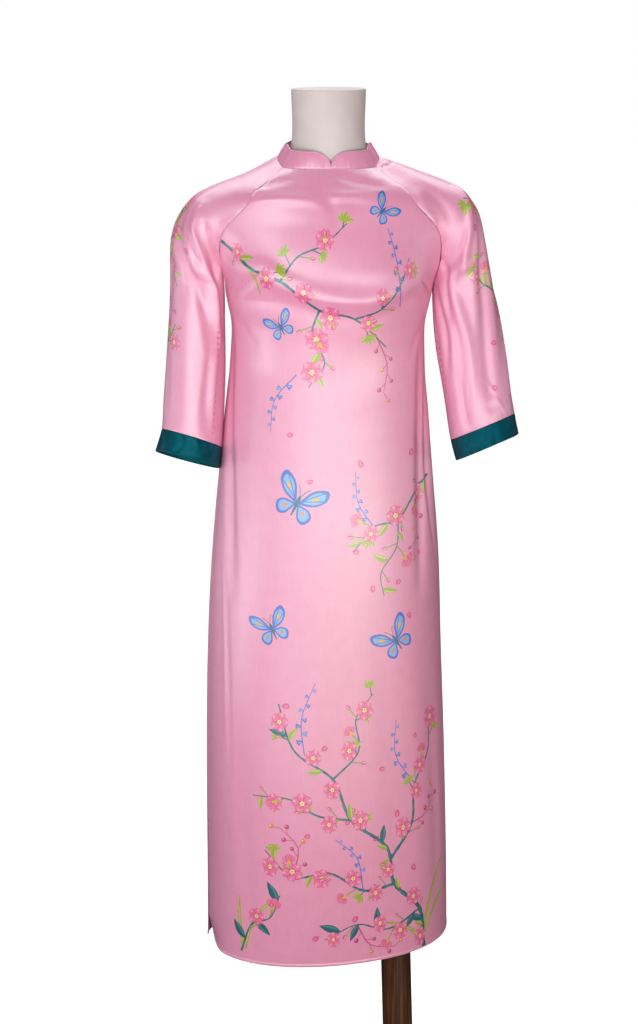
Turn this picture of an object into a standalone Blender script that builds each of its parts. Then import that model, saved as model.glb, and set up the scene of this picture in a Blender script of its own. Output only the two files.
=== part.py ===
"""Ao dai tunic on a limbless dress form, built in metres with +Z up and the front facing -Y.

The cloth is cut as the real tunic is: a front and a back panel open at the sides below the hip,
two raglan sleeves that run up to the neck, a cuff band on each sleeve and a standing collar.
Each piece is an open surface lofted through its sections, with Solidify for the wall. The origin
is the centre of the stand's underside.
"""

import math

import bmesh
import bpy
import numpy as np

# ---- Cloth sizes
WALL = 0.0012  # thickness of the cloth wall
SEAM_GAP = 0.00045  # room between two edges that are sewn together
NECK_TOP = 1.452  # height of the front neck seam
NAPE = 1.466  # height of the back neck seam at the raglan corners
ARMPIT = 1.2732
SLIT_TOP = 1.148  # the side seams end here, and the panels hang apart below
SLIT_PART, SLIT_FADE = 0.0012, 0.20  # how far each slit edge draws back, and over what height
HEM = 0.2825  # height of the hem at the centre front and back
HEM_RISE, HEM_POWER = 0.0065, 4  # how far the hem climbs evenly towards its corners
CORNER_RISE, CORNER_POWER = 0.013, 24  # and how far more in the last few centimetres
COLLAR_GAP = 0.0005  # room under the collar's base
COLLAR_RISE = 0.0235
COLLAR_LEAN = 0.0135  # how far the collar's top edge stands inside its base, at the sides
COLLAR_LEAN_FRONT = 0.0065
COLLAR_LEAN_BACK = 0.0030
COLLAR_END = 0.031  # length of the curved end of the collar, on each side of the centre front
NOTCH_RISE = 0.0035  # height of the collar at its very end
CUFF_GAP = 0.006  # half of the seam gap between a sleeve and its cuff, in stations

# ---- How the garment sits: its centre line and how far its front is turned, by height
STANCE_COLUMNS = ("height", "centre_x", "twist")
STANCE = (
    (0.280, 0.0005, 15.5),
    (0.400, 0.0000, 14.8),
    (0.500, -0.0015, 14.0),
    (0.750, -0.0045, 11.5),
    (0.963, -0.0025, 8.0),
    (1.148, -0.0012, 4.5),
    (1.270, 0.0010, 3.0),
    (1.380, 0.0005, 3.0),
    (1.466, -0.0015, 5.0),
)

# ---- Panel sections. half: from the centre line to the edge; edge: the edge's depth from the
# middle plane; depth: the centre line's; turn: how far the section has turned at its edge;
# flat, round: how far it stays straight at its centre and its edge; tuck_left, tuck_right:
# how far an open edge is drawn in behind the other panel.
PANEL_COLUMNS = (
    "height", "half", "edge", "depth", "turn", "flat", "round", "lift", "tuck_left", "tuck_right",
)
FRONT = (
    (0.280, 0.1872, 0.0000, 0.1290, 90, 0.60, 0.56, 0.0, 0.0095, 0.0000),
    (0.400, 0.1850, 0.0000, 0.1290, 90, 0.60, 0.56, 0.0, 0.0060, 0.0000),
    (0.500, 0.1832, 0.0000, 0.1285, 90, 0.60, 0.56, 0.0, 0.0035, 0.0000),
    (0.650, 0.1795, 0.0000, 0.1270, 90, 0.60, 0.56, 0.0, 0.0010, 0.0000),
    (0.750, 0.1752, 0.0000, 0.1260, 90, 0.60, 0.56, 0.0, 0.0000, 0.0000),
    (0.870, 0.1695, 0.0000, 0.1235, 90, 0.60, 0.56, 0.0, 0.0000, 0.0025),
    (0.965, 0.1618, 0.0000, 0.1195, 90, 0.60, 0.56, 0.0, 0.0000, 0.0115),
    (1.020, 0.1562, 0.0000, 0.1160, 90, 0.60, 0.56, 0.0, 0.0000, 0.0140),
    (1.112, 0.1466, 0.0000, 0.1090, 90, 0.60, 0.56, 0.0, 0.0000, 0.0050),
    (1.148, 0.1427, 0.0000, 0.1070, 90, 0.60, 0.56, 0.0, 0.0000, 0.0000),
    (1.195, 0.1399, 0.0000, 0.1085, 90, 0.60, 0.56, 0.0, 0.0000, 0.0000),
    (1.230, 0.1400, 0.0000, 0.1150, 90, 0.59, 0.56, 0.0, 0.0000, 0.0000),
    (1.2732, 0.1485, 0.0020, 0.1225, 89, 0.56, 0.56, 0.0, 0.0000, 0.0000),
    (1.2875, 0.1500, 0.0180, 0.1230, 80, 0.54, 0.54, 0.0, 0.0000, 0.0000),
    (1.311, 0.1550, 0.0360, 0.1215, 62, 0.50, 0.50, 0.0, 0.0000, 0.0000),
    (1.3345, 0.1565, 0.0480, 0.1160, 48, 0.46, 0.45, 0.0, 0.0000, 0.0000),
    (1.352, 0.1555, 0.0560, 0.1105, 38, 0.43, 0.41, 0.0, 0.0000, 0.0000),
    (1.365, 0.1515, 0.0610, 0.1060, 33, 0.41, 0.38, 0.0, 0.0000, 0.0000),
    (1.378, 0.1427, 0.0655, 0.1015, 29, 0.40, 0.36, 0.0, 0.0000, 0.0000),
    (1.404, 0.1185, 0.0715, 0.0925, 27, 0.40, 0.35, 0.0, 0.0000, 0.0000),
    (1.4265, 0.1010, 0.0630, 0.0805, 32, 0.42, 0.37, 0.0, 0.0000, 0.0000),
    (1.438, 0.0840, 0.0530, 0.0725, 40, 0.45, 0.42, 0.0, 0.0000, 0.0000),
    (1.452, 0.0664, 0.0360, 0.0625, 56, 0.50, 0.50, 0.0, 0.0000, 0.0000),
)
BACK = (
    (0.280, 0.1872, 0.0000, 0.1250, 90, 0.58, 0.56, 0.0, 0.0, 0.0),
    (0.500, 0.1832, 0.0000, 0.1250, 90, 0.58, 0.56, 0.0, 0.0, 0.0),
    (0.750, 0.1752, 0.0000, 0.1240, 90, 0.58, 0.56, 0.0, 0.0, 0.0),
    (0.870, 0.1695, 0.0000, 0.1225, 90, 0.58, 0.56, 0.0, 0.0, 0.0),
    (0.965, 0.1618, 0.0000, 0.1190, 90, 0.58, 0.56, 0.0, 0.0, 0.0),
    (1.020, 0.1562, 0.0000, 0.1150, 90, 0.58, 0.56, 0.0, 0.0, 0.0),
    (1.112, 0.1466, 0.0000, 0.1020, 90, 0.58, 0.56, 0.0, 0.0, 0.0),
    (1.148, 0.1427, 0.0000, 0.0965, 90, 0.58, 0.56, 0.0, 0.0, 0.0),
    (1.195, 0.1399, 0.0000, 0.0915, 90, 0.58, 0.56, 0.0, 0.0, 0.0),
    (1.230, 0.1400, 0.0000, 0.0920, 90, 0.58, 0.56, 0.0, 0.0, 0.0),
    (1.2732, 0.1485, 0.0020, 0.0970, 89, 0.56, 0.56, 0.0, 0.0, 0.0),
    (1.290, 0.1502, 0.0220, 0.0990, 78, 0.54, 0.54, 0.0, 0.0, 0.0),
    (1.310, 0.1505, 0.0420, 0.1010, 64, 0.50, 0.50, 0.0, 0.0, 0.0),
    (1.330, 0.1470, 0.0570, 0.1025, 52, 0.46, 0.45, 0.0, 0.0, 0.0),
    (1.350, 0.1405, 0.0680, 0.1025, 42, 0.43, 0.41, 0.0, 0.0, 0.0),
    (1.375, 0.1300, 0.0765, 0.1005, 33, 0.41, 0.38, 0.0, 0.0, 0.0),
    (1.400, 0.1165, 0.0780, 0.0965, 29, 0.40, 0.36, 0.0, 0.0, 0.0),
    (1.420, 0.1035, 0.0740, 0.0910, 30, 0.40, 0.36, 0.0, 0.0, 0.0),
    (1.440, 0.0880, 0.0650, 0.0820, 36, 0.42, 0.38, 0.001, 0.0, 0.0),
    (1.4555, 0.0740, 0.0520, 0.0710, 46, 0.46, 0.44, 0.003, 0.0, 0.0),
    (1.466, 0.0610, 0.0365, 0.0590, 56, 0.50, 0.50, 0.004, 0.0, 0.0),
)
TUCK_REACH = 0.055  # how far from the edge a tuck fades out

# ---- Sleeve sections above the armpit, by station. front_z and back_z: the heights where the
# section meets the raglan seams; out: its outermost or topmost point, on each arm; turn, reach
# and crown: the direction it leaves each seam in and how far its two ends run straight.
YOKE_COLUMNS = (
    "station", "front_z", "back_z", "left_x", "left_z", "right_x", "right_z", "out_y",
    "front_turn", "front_reach", "front_crown", "back_turn", "back_reach", "back_crown",
)
YOKE = (
    (0, 1.4520, 1.4660, 0.0725, 1.4600, 0.0725, 1.4635, -0.003, 62, 0.013, 0.014, 62, 0.012, 0.014),
    (1, 1.4380, 1.4555, 0.0950, 1.4500, 0.0950, 1.4562, -0.002, 46, 0.021, 0.025, 50, 0.018, 0.024),
    (2, 1.4265, 1.4400, 0.1220, 1.4385, 0.1220, 1.4465, -0.001, 35, 0.027, 0.034, 40, 0.025, 0.034),
    (3, 1.4040, 1.4200, 0.1500, 1.4285, 0.1500, 1.4365, -0.001, 25, 0.033, 0.041, 31, 0.031, 0.042),
    (4, 1.3780, 1.3985, 0.1750, 1.4185, 0.1755, 1.4265, -0.001, 15, 0.035, 0.045, 24, 0.035, 0.047),
    (5, 1.3650, 1.3760, 0.1925, 1.4075, 0.1925, 1.4170, -0.002, 4, 0.036, 0.047, 14, 0.037, 0.050),
    (6, 1.3520, 1.3530, 0.2060, 1.3925, 0.2060, 1.4010, -0.003, -9, 0.038, 0.049, 0, 0.039, 0.052),
    (7, 1.3345, 1.3310, 0.2172, 1.3740, 0.2155, 1.3830, -0.004, -24, 0.043, 0.052, -17, 0.043, 0.053),
    (8, 1.3110, 1.3100, 0.2245, 1.3490, 0.2220, 1.3570, -0.004, -46, 0.050, 0.056, -40, 0.050, 0.056),
    (9, 1.2875, 1.2900, 0.2262, 1.3220, 0.2275, 1.3300, -0.005, -70, 0.060, 0.061, -66, 0.060, 0.060),
)
# ---- Sleeve sections below the armpit: inner and outer point of the tube, how far it reaches to
# the front and the back of the line between them, and how much higher its front is.
TUBE_COLUMNS = (
    "station", "in_x", "in_y", "in_z", "out_x", "out_y", "out_z", "front", "back", "tilt",
)
TUBE_LEFT = (
    (10, 0.1500, -0.008, 1.2732, 0.2262, -0.006, 1.2960, 0.052, 0.050, 0.002),
    (11, 0.1484, -0.008, 1.2350, 0.2275, -0.008, 1.2580, 0.053, 0.052, 0.004),
    (12, 0.1478, -0.010, 1.1850, 0.2310, -0.012, 1.2060, 0.053, 0.053, 0.006),
    (13, 0.1490, -0.015, 1.1300, 0.2350, -0.018, 1.1520, 0.052, 0.052, 0.009),
    (14, 0.1515, -0.021, 1.0800, 0.2385, -0.024, 1.1040, 0.051, 0.052, 0.012),
    (15, 0.1540, -0.027, 1.0480, 0.2408, -0.028, 1.0745, 0.050, 0.051, 0.014),
    (16, 0.1570, -0.031, 1.0180, 0.2505, -0.031, 1.0430, 0.052, 0.053, 0.015),
)
TUBE_RIGHT = (
    (10, 0.1515, 0.006, 1.2732, 0.2325, -0.005, 1.3030, 0.052, 0.050, 0.002),
    (11, 0.1515, 0.002, 1.2330, 0.2400, -0.007, 1.2620, 0.053, 0.052, 0.004),
    (12, 0.1565, -0.003, 1.1860, 0.2495, -0.009, 1.2070, 0.053, 0.053, 0.006),
    (13, 0.1650, -0.008, 1.1390, 0.2580, -0.012, 1.1630, 0.052, 0.053, 0.008),
    (14, 0.1722, -0.013, 1.0940, 0.2655, -0.015, 1.1230, 0.052, 0.053, 0.009),
    (15, 0.1785, -0.016, 1.0570, 0.2705, -0.018, 1.0965, 0.050, 0.051, 0.010),
    (16, 0.1865, -0.019, 1.0265, 0.2768, -0.020, 1.0660, 0.052, 0.053, 0.011),
)
HANDLE_CLIMB = 0.35  # how far a yoke section's first handle follows the raglan seam upwards
CLIMB_STEP = 0.001  # the height over which that seam's direction is measured
ARMPIT_GAP = 0.0005  # room between the sleeve's inner line and the body at the armpit
JOIN_POWER = 4  # how late the seam ends leave the raglan seams for the sleeve's inner line
BLEND_REACH, BLEND_SPREAD = 1.1, 1.3  # stations blended at the armpit, and how that fades
BLEND_AT = (-1.0, -0.5, 0.0, 0.5, 1.0)
BLEND_WEIGHTS = (0.0625, 0.25, 0.375, 0.25, 0.0625)
HALF_OVAL = 0.75  # a Bezier arc with both handles this share of its depth bulges by that depth

# ---- Largest folds. Panels: s is the distance from the centre line, z the height. Sleeves: s is
# the distance from the outer line towards the front, z the station. depth under 0 is a trough.
FOLD_COLUMNS = ("s0", "z0", "s1", "z1", "depth", "width", "fade")
FRONT_FOLDS = (
    (-0.168, 1.140, -0.172, 0.860, -0.0035, 0.011, 0.060),
    (0.150, 1.150, 0.158, 0.830, -0.0045, 0.013, 0.070),
    (-0.125, 1.282, -0.078, 1.300, -0.0025, 0.011, 0.020),
)
BACK_FOLDS = (
    (0.070, 1.205, -0.060, 1.150, -0.0030, 0.014, 0.040),
    (-0.080, 1.215, 0.040, 1.180, -0.0025, 0.013, 0.040),
    (0.060, 0.900, 0.085, 0.420, -0.0040, 0.022, 0.120),
    (-0.075, 0.840, -0.095, 0.360, -0.0035, 0.024, 0.120),
)
SLEEVE_FOLDS = (
    (0.055, 7.2, 0.052, 12.6, -0.0055, 0.0105, 1.3),
    (0.088, 9.0, 0.098, 13.6, -0.0040, 0.0090, 1.2),
    (-0.060, 8.0, -0.085, 13.0, -0.0045, 0.0120, 1.5),
)

# ---- Dress form sections. mid_z and side_z: the section's height at its centre and its sides.
FORM_COLUMNS = ("order", "mid_z", "side_z", "half", "front", "back", "power")
FORM = (
    (0, 0.8010, 0.8010, 0.1180, 0.0860, 0.0900, 2.2),
    (1, 0.8120, 0.8120, 0.1330, 0.0980, 0.1030, 2.2),
    (2, 0.8400, 0.8400, 0.1400, 0.1030, 0.1090, 2.2),
    (3, 0.9100, 0.9100, 0.1430, 0.1050, 0.1120, 2.2),
    (4, 0.9800, 0.9800, 0.1380, 0.1020, 0.1100, 2.2),
    (5, 1.0500, 1.0500, 0.1310, 0.0960, 0.1000, 2.2),
    (6, 1.1200, 1.1200, 0.1260, 0.0920, 0.0860, 2.2),
    (7, 1.1900, 1.1900, 0.1240, 0.0920, 0.0800, 2.2),
    (8, 1.2500, 1.2500, 0.1290, 0.1060, 0.0850, 2.3),
    (9, 1.2950, 1.2980, 0.1370, 0.1110, 0.0890, 2.3),
    (10, 1.3300, 1.3400, 0.1500, 0.1040, 0.0910, 2.3),
    (11, 1.3560, 1.3780, 0.1610, 0.0940, 0.0900, 2.3),
    (12, 1.3780, 1.4060, 0.1600, 0.0820, 0.0840, 2.1),
    (13, 1.3980, 1.4268, 0.1440, 0.0700, 0.0760, 2.0),
    (14, 1.4160, 1.4400, 0.1210, 0.0610, 0.0680, 1.9),
    (15, 1.4320, 1.4481, 0.0950, 0.0560, 0.0610, 1.9),
    (16, 1.4450, 1.4525, 0.0720, 0.0530, 0.0555, 1.95),
    (17, 1.4640, 1.4690, 0.0575, 0.0540, 0.0515, 2.0),
    (18, 1.4900, 1.4910, 0.0520, 0.0540, 0.0490, 2.0),
    (19, 1.5250, 1.5250, 0.0518, 0.0540, 0.0490, 2.0),
    (20, 1.5550, 1.5550, 0.0528, 0.0550, 0.0500, 2.0),
    (21, 1.5590, 1.5590, 0.0512, 0.0534, 0.0484, 2.0),
)
FORM_TILT = 0.027  # how much higher the viewer's right shoulder is, for each metre across
FORM_CENTRE = 0.0005
TILT_RISE = ((1.10, 0.0), (1.30, 1.0), (1.44, 1.0), (1.49, 0.0))  # share of the tilt by height

# ---- Stand
SEAT_GAP = 0.0003  # between two rigid pieces that rest on each other
BASE_RADIUS, BASE_THICK, BASE_EDGE = 0.1950, 0.0080, 0.0020
FOOT_RADIUS, FOOT_THICK, FLANGE_RADIUS, FLANGE_THICK = 0.0360, 0.0120, 0.0400, 0.0060
PLATE_EDGE = 0.0015
POLE_RADIUS, POLE_FOOT_X, POLE_HEAD_X = 0.0230, 0.1125, 0.0880

# ---- Mesh densities
PANEL_FACES = 22  # across a panel
EDGE_CROWD, EDGE_POWER = 0.25, 0.6  # how far those faces are narrower towards the edges
PANEL_SPANS = ((SLIT_TOP, 15), (ARMPIT, 6))  # faces up to each of these heights
YOKE_FACES = 15  # and from the armpit to the neck, on panels and sleeves alike
SLEEVE_ARC = 11  # faces round the front of the sleeve, and round its back
TUBE_FACES = 11  # from the armpit to the cuff
CUFF_FACES = 2
COLLAR_FACES, COLLAR_END_FACES, COLLAR_ROWS = 42, 5, 3
FORM_ROUND, FORM_RINGS = 36, 38
STAND_STEPS = 48
SCREW_MERGE = 0.00001
READ_STEPS = 40  # places at which a section's length is added up

# ---- Colours and roughnesses
PINK, TEAL, CREAM = (0.86, 0.40, 0.56), (0.012, 0.11, 0.15), (0.78, 0.72, 0.68)
WOOD, STEEL = (0.075, 0.03, 0.012), (0.02, 0.02, 0.022)
SATIN, MATTE, PAINT, POLISH = 0.36, 0.6, 0.45, 0.4


class Sections:
    """A table with named columns, each of them read as a smooth curve along the first."""

    def __init__(self, names, rows):
        self.names = names
        self.rows = np.array(rows, float)

    def __call__(self, name, at):
        values = self.rows[:, self.names.index(name)]
        return np.clip(spline(self.rows[:, 0], values, at), values.min(), values.max())


def spline(knots, values, at):
    """Natural cubic spline through the values, read at any places."""
    step = np.diff(knots)
    count = len(knots)
    matrix = np.eye(count)
    right = np.zeros((count,) + values.shape[1:])
    for i in range(1, count - 1):
        before, after = values[i] - values[i - 1], values[i + 1] - values[i]
        matrix[i, i - 1 : i + 2] = step[i - 1], 2 * (step[i - 1] + step[i]), step[i]
        right[i] = 6 * (after / step[i] - before / step[i - 1])
    bend = np.linalg.solve(matrix, right)
    at = np.clip(np.asarray(at, float), knots[0], knots[-1])
    i = np.clip(np.searchsorted(knots, at) - 1, 0, count - 2)
    extra = (...,) + (None,) * (values.ndim - 1)
    run, h = (at - knots[i])[extra], step[i][extra]
    slope = (values[i + 1] - values[i]) / h - h * (2 * bend[i] + bend[i + 1]) / 6
    return values[i] + run * (slope + run * (bend[i] / 2 + run * (bend[i + 1] - bend[i]) / (6 * h)))


stance = Sections(STANCE_COLUMNS, STANCE)
front = Sections(PANEL_COLUMNS, FRONT)
back = Sections(PANEL_COLUMNS, BACK)
yoke = Sections(YOKE_COLUMNS, YOKE)


def stack(*parts):
    return np.stack(np.broadcast_arrays(*parts), axis=-1)


def bezier(points, t):
    t = np.asarray(t)[..., None]
    a, b, c, d = points
    return a * (1 - t) ** 3 + 3 * b * t * (1 - t) ** 2 + 3 * c * t**2 * (1 - t) + d * t**3


def arc_lengths(points):
    """The length along each curve up to READ_STEPS even places on it."""
    steps = np.linspace(0, 1, READ_STEPS + 1)
    line = np.stack([bezier(points, np.full(points[0].shape[:-1], t)) for t in steps])
    run = np.linalg.norm(np.diff(line, axis=0), axis=-1).cumsum(0)
    return np.concatenate([np.zeros((1,) + run.shape[1:]), run])


def at_length(points, length):
    """The point of each curve at its own length from the start."""
    total = arc_lengths(points)
    cell = np.clip((total[1:-1] <= length).sum(0), 0, READ_STEPS - 1)
    low = np.take_along_axis(total, cell[None], 0)[0]
    high = np.take_along_axis(total, cell[None] + 1, 0)[0]
    return bezier(points, (cell + (length - low) / (high - low)) / READ_STEPS)


def placed(x, y, z):
    """Turns and shifts a point of the body's own frame into its place."""
    twist = np.radians(stance("twist", z))
    return stack(
        x * np.cos(twist) - y * np.sin(twist) + stance("centre_x", z),
        x * np.sin(twist) + y * np.cos(twist),
        z,
    )


def half_row(table, way, z):
    """Four control points from the centre line to the edge, on the half with x above 0.

    way is -1 for the front and 1 for the back.
    """
    half, edge, depth = table("half", z), table("edge", z), table("depth", z)
    turn = np.radians(table("turn", z))
    run = table("round", z) * (half * np.cos(turn) + (depth - edge) * np.sin(turn))
    zero = np.zeros_like(half)
    return [
        stack(zero, way * depth, zero),
        stack(table("flat", z) * half, way * depth, zero),
        stack(half - run * np.cos(turn), way * (edge + run * np.sin(turn)), zero),
        stack(half, way * edge, zero),
    ]


def panel(table, way, share, z):
    """Points of a panel. share runs from -1 at the left edge to 1 at the right one."""
    share, z = np.broadcast_arrays(share, z)
    row = half_row(table, way, z)
    length = arc_lengths(row)[-1]
    point = at_length(row, np.abs(share) * length)
    tuck = np.where(share < 0, table("tuck_left", z), table("tuck_right", z))
    near = np.clip(1 - (1 - np.abs(share)) * length / TUCK_REACH, 0, 1)
    x = point[..., 0] - tuck * near**2 * (3 - 2 * near)
    lift = table("lift", z) * (1 - share**2)
    placed_point = placed(np.sign(share) * x, point[..., 1], z)
    placed_point[..., 2] += lift
    return placed_point, share * length


def raglan(table, way, side, z):
    """Points of a raglan seam: the panel's edge on one side."""
    return placed(side * table("half", z), way * table("edge", z), z)


def sleeve_controls(side):
    """Station by station: the outer point, and the handles at the seams and at the outer point."""
    tube_rows = TUBE_LEFT if side < 0 else TUBE_RIGHT
    label = "left" if side < 0 else "right"
    rows = []
    for row in YOKE:
        k = dict(zip(YOKE_COLUMNS, row))
        outer = np.array([side * k[label + "_x"], k["out_y"], k[label + "_z"]])
        handles = []
        for way, table, name in ((-1, front, "front"), (1, back, "back")):
            seam_z = k[name + "_z"]
            climb = raglan(table, way, side, seam_z) - raglan(table, way, side, seam_z - CLIMB_STEP)
            turn = math.radians(k[name + "_turn"])
            leave = k[name + "_reach"] * np.array([side * math.cos(turn), -way * math.sin(turn), 0])
            leave += HANDLE_CLIMB * (outer[2] - seam_z) / CLIMB_STEP * climb
            handles += [leave, np.array([0, way * k[name + "_crown"], 0])]
        rows.append(np.concatenate([np.zeros(3), outer] + handles))
    for row in tube_rows:
        k = dict(zip(TUBE_COLUMNS, row))
        inner = np.array([side * k["in_x"], k["in_y"], k["in_z"]])
        if row is tube_rows[0]:
            inner = (raglan(front, -1, side, ARMPIT) + raglan(back, 1, side, ARMPIT)) / 2
            inner[0] += side * ARMPIT_GAP
        outer = np.array([side * k["out_x"], k["out_y"], k["out_z"]])
        ahead = np.array([0, -k["front"], k["tilt"]]) / HALF_OVAL
        behind = np.array([0, k["back"], -k["tilt"]]) / HALF_OVAL
        rows.append(np.concatenate([inner, outer, ahead, ahead, behind, behind]))
    return np.array(rows)


FIRST_TUBE = TUBE_LEFT[0][0]
CONTROLS = {side: sleeve_controls(side) for side in (-1, 1)}


def sleeve_arc(side, way, station):
    """Four control points of the front (-1) or back (1) arc, from the seam to the outer line."""
    controls = CONTROLS[side]
    order = np.arange(len(controls), dtype=float)
    read = spline(order, controls, station)
    tube = spline(order[FIRST_TUBE:], controls[FIRST_TUBE:, :3], station)
    join = np.clip(np.asarray(station) - (FIRST_TUBE - 1), 0, 1)[..., None] ** JOIN_POWER
    seam = raglan(front if way < 0 else back, way, side, seam_height(way, station))
    seam = seam * (1 - join) + tube * join
    first = 6 if way < 0 else 12
    leave, crown = read[..., first : first + 3], read[..., first + 3 : first + 6]
    outer = read[..., 3:6]
    return [seam, seam + leave, outer + crown, outer]


def sleeve(side, share, station):
    """Points of a sleeve, its sections blended into each other where the armhole closes."""
    station = np.asarray(station, float)
    reach = BLEND_REACH * np.exp(-(((station - FIRST_TUBE) / BLEND_SPREAD) ** 2))
    parts = [sleeve_section(side, share, station + offset * reach) for offset in BLEND_AT]
    return [sum(w * part[i] for w, part in zip(BLEND_WEIGHTS, parts)) for i in (0, 1)]


def sleeve_section(side, share, station):
    """share runs from 0 at the front seam over the outer line at 1 to the back seam at 2."""
    share, station = np.broadcast_arrays(share, station)
    result = np.zeros(share.shape + (3,))
    along = np.zeros(share.shape)
    open_here = np.clip(FIRST_TUBE - station, 0, 1)
    for way, mask, part in ((-1, share <= 1, share), (1, share > 1, 2 - share)):
        arc = sleeve_arc(side, way, station)
        length = arc_lengths(arc)[-1]
        kept = length - open_here * SEAM_GAP / 2
        point = at_length(arc, np.minimum(length, length - kept * (1 - part)))
        result[mask] = point[mask]
        along[mask] = (-way * kept * (1 - part))[mask]
    return result, along


def normals(points):
    """Outward unit normals of a grid of points that runs along its columns, then up its rows."""
    across = np.gradient(points, axis=1)
    up = np.gradient(points, axis=0)
    found = np.cross(across, up)
    return found / np.maximum(np.linalg.norm(found, axis=-1, keepdims=True), 1e-12)


def folded(points, s, z, folds, outward):
    """Presses the folds of a table into a grid of points, along its normals."""
    depth = np.zeros(s.shape)
    for row in folds:
        k = dict(zip(FOLD_COLUMNS, row))
        run = (z - k["z0"]) / (k["z1"] - k["z0"])
        line = k["s0"] + (k["s1"] - k["s0"]) * np.clip(run, 0, 1)
        past = np.maximum(np.maximum(-run, run - 1), 0) * abs(k["z1"] - k["z0"])
        depth += k["depth"] * np.exp(-(((s - line) / k["width"]) ** 2) - (past / k["fade"]) ** 2)
    return points + outward * depth[..., None] * normals(points)


def grid_mesh(name, points, closed_rows=None):
    """A mesh of quads over a grid of points. Rows from closed_rows on meet round the tube."""
    rows, columns = points.shape[:2]
    number = np.arange(rows * columns).reshape(rows, columns)
    if closed_rows is not None:
        number[closed_rows:, -1] = number[closed_rows:, 0]
    faces = [
        (number[r, c], number[r, c + 1], number[r + 1, c + 1], number[r + 1, c])
        for r in range(rows - 1)
        for c in range(columns - 1)
    ]
    mesh = bpy.data.meshes.new(name)
    mesh.from_pydata(points.reshape(-1, 3).tolist(), [], [tuple(int(i) for i in f) for f in faces])
    work = bmesh.new()
    work.from_mesh(mesh)
    bmesh.ops.delete(work, geom=[v for v in work.verts if not v.link_faces], context="VERTS")
    work.to_mesh(mesh)
    work.free()
    return mesh


def material(name, colour, roughness, metallic=0.0):
    made = bpy.data.materials.new(name)
    made.use_nodes = True
    shader = made.node_tree.nodes["Principled BSDF"]
    shader.inputs["Base Color"].default_value = (*colour, 1)
    shader.inputs["Roughness"].default_value = roughness
    shader.inputs["Metallic"].default_value = metallic
    made.diffuse_color = (*colour, 1)
    return made


def add_object(name, mesh, made_of):
    obj = bpy.data.objects.new(name, mesh)
    mesh.materials.append(made_of)
    mesh.shade_smooth()
    collection.objects.link(obj)
    return obj


def cloth_object(name, mesh, made_of):
    """An object whose open surface is the cloth's face, with its wall on the inner side."""
    obj = add_object(name, mesh, made_of)
    wall = obj.modifiers.new("wall", "SOLIDIFY")
    wall.thickness = WALL
    wall.offset = -1
    return obj


def hem_height(share):
    share = np.abs(share)
    return HEM + HEM_RISE * share**HEM_POWER + CORNER_RISE * share**CORNER_POWER


def seam_height(way, station):
    """Height of the front (-1) or back (1) raglan seam at a sleeve station."""
    column = YOKE_COLUMNS.index("front_z" if way < 0 else "back_z")
    heights = np.append(yoke.rows[:, column], ARMPIT)
    return spline(np.arange(FIRST_TUBE + 1, dtype=float), heights, station)


def panel_levels(way):
    """Heights of a panel's rows. Above the armpit they meet the rows of the sleeves."""
    levels, start = [], HEM
    for end, faces in PANEL_SPANS:
        levels += list(np.linspace(start, end, faces + 1)[:-1])
        start = end
    return levels + list(seam_height(way, np.linspace(FIRST_TUBE, 0, YOKE_FACES + 1)))


def panel_object(name, table, way, folds, made_of):
    levels = panel_levels(way)
    share = np.linspace(-1, 1, PANEL_FACES + 1)
    crowded = EDGE_CROWD * np.abs(share) ** EDGE_POWER
    share = np.sign(share) * ((1 - EDGE_CROWD) * np.abs(share) + crowded)
    z = np.repeat(np.array(levels)[:, None], len(share), axis=1)
    z[0] = hem_height(share)
    share = np.repeat(share[None], len(levels), axis=0)
    parted = SLIT_PART * np.clip((SLIT_TOP - z) / SLIT_FADE, 0, 1)
    edge = 1 - (SEAM_GAP / 2 + parted) / arc_lengths(half_row(table, way, z))[-1]
    points, s = panel(table, way, np.clip(share, -edge, edge), z)
    if way > 0:
        points, s, z = points[:, ::-1], s[:, ::-1], z[:, ::-1]
    points = folded(points, s, z, folds, 1.0)
    return cloth_object(name, grid_mesh(name, points), made_of)


def sleeve_grid(side, stations):
    share = np.linspace(0, 2, 2 * SLEEVE_ARC + 1)
    share = np.repeat(share[None], len(stations), axis=0)
    station = np.repeat(np.array(stations)[:, None], share.shape[1], axis=1)
    points, s = sleeve(side, share, station)
    return points, s, station


def sleeve_object(name, side, stations, made_of):
    points, s, station = sleeve_grid(side, stations)
    points = folded(points, s, station, SLEEVE_FOLDS, 1.0 if side < 0 else -1.0)
    closed = next(i for i, k in enumerate(stations) if k >= FIRST_TUBE)
    mesh = grid_mesh(name, points if side < 0 else points[:, ::-1], closed)
    return cloth_object(name, mesh, made_of)


def neck_seam():
    """A closed line along the neck seam, from the centre front over the viewer's right and back."""
    arc = np.linspace(0, 1, READ_STEPS + 1)
    line = np.concatenate([
        panel(front, -1, arc, NECK_TOP)[0],
        sleeve(1, 2 * arc, 0.0)[0],
        panel(back, 1, 1 - 2 * arc, NAPE)[0],
        sleeve(-1, 2 - 2 * arc, 0.0)[0],
        panel(front, -1, arc - 1, NECK_TOP)[0],
    ])
    steps = np.append(0, np.linalg.norm(np.diff(line, axis=0), axis=1).cumsum())
    return line, steps


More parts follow.
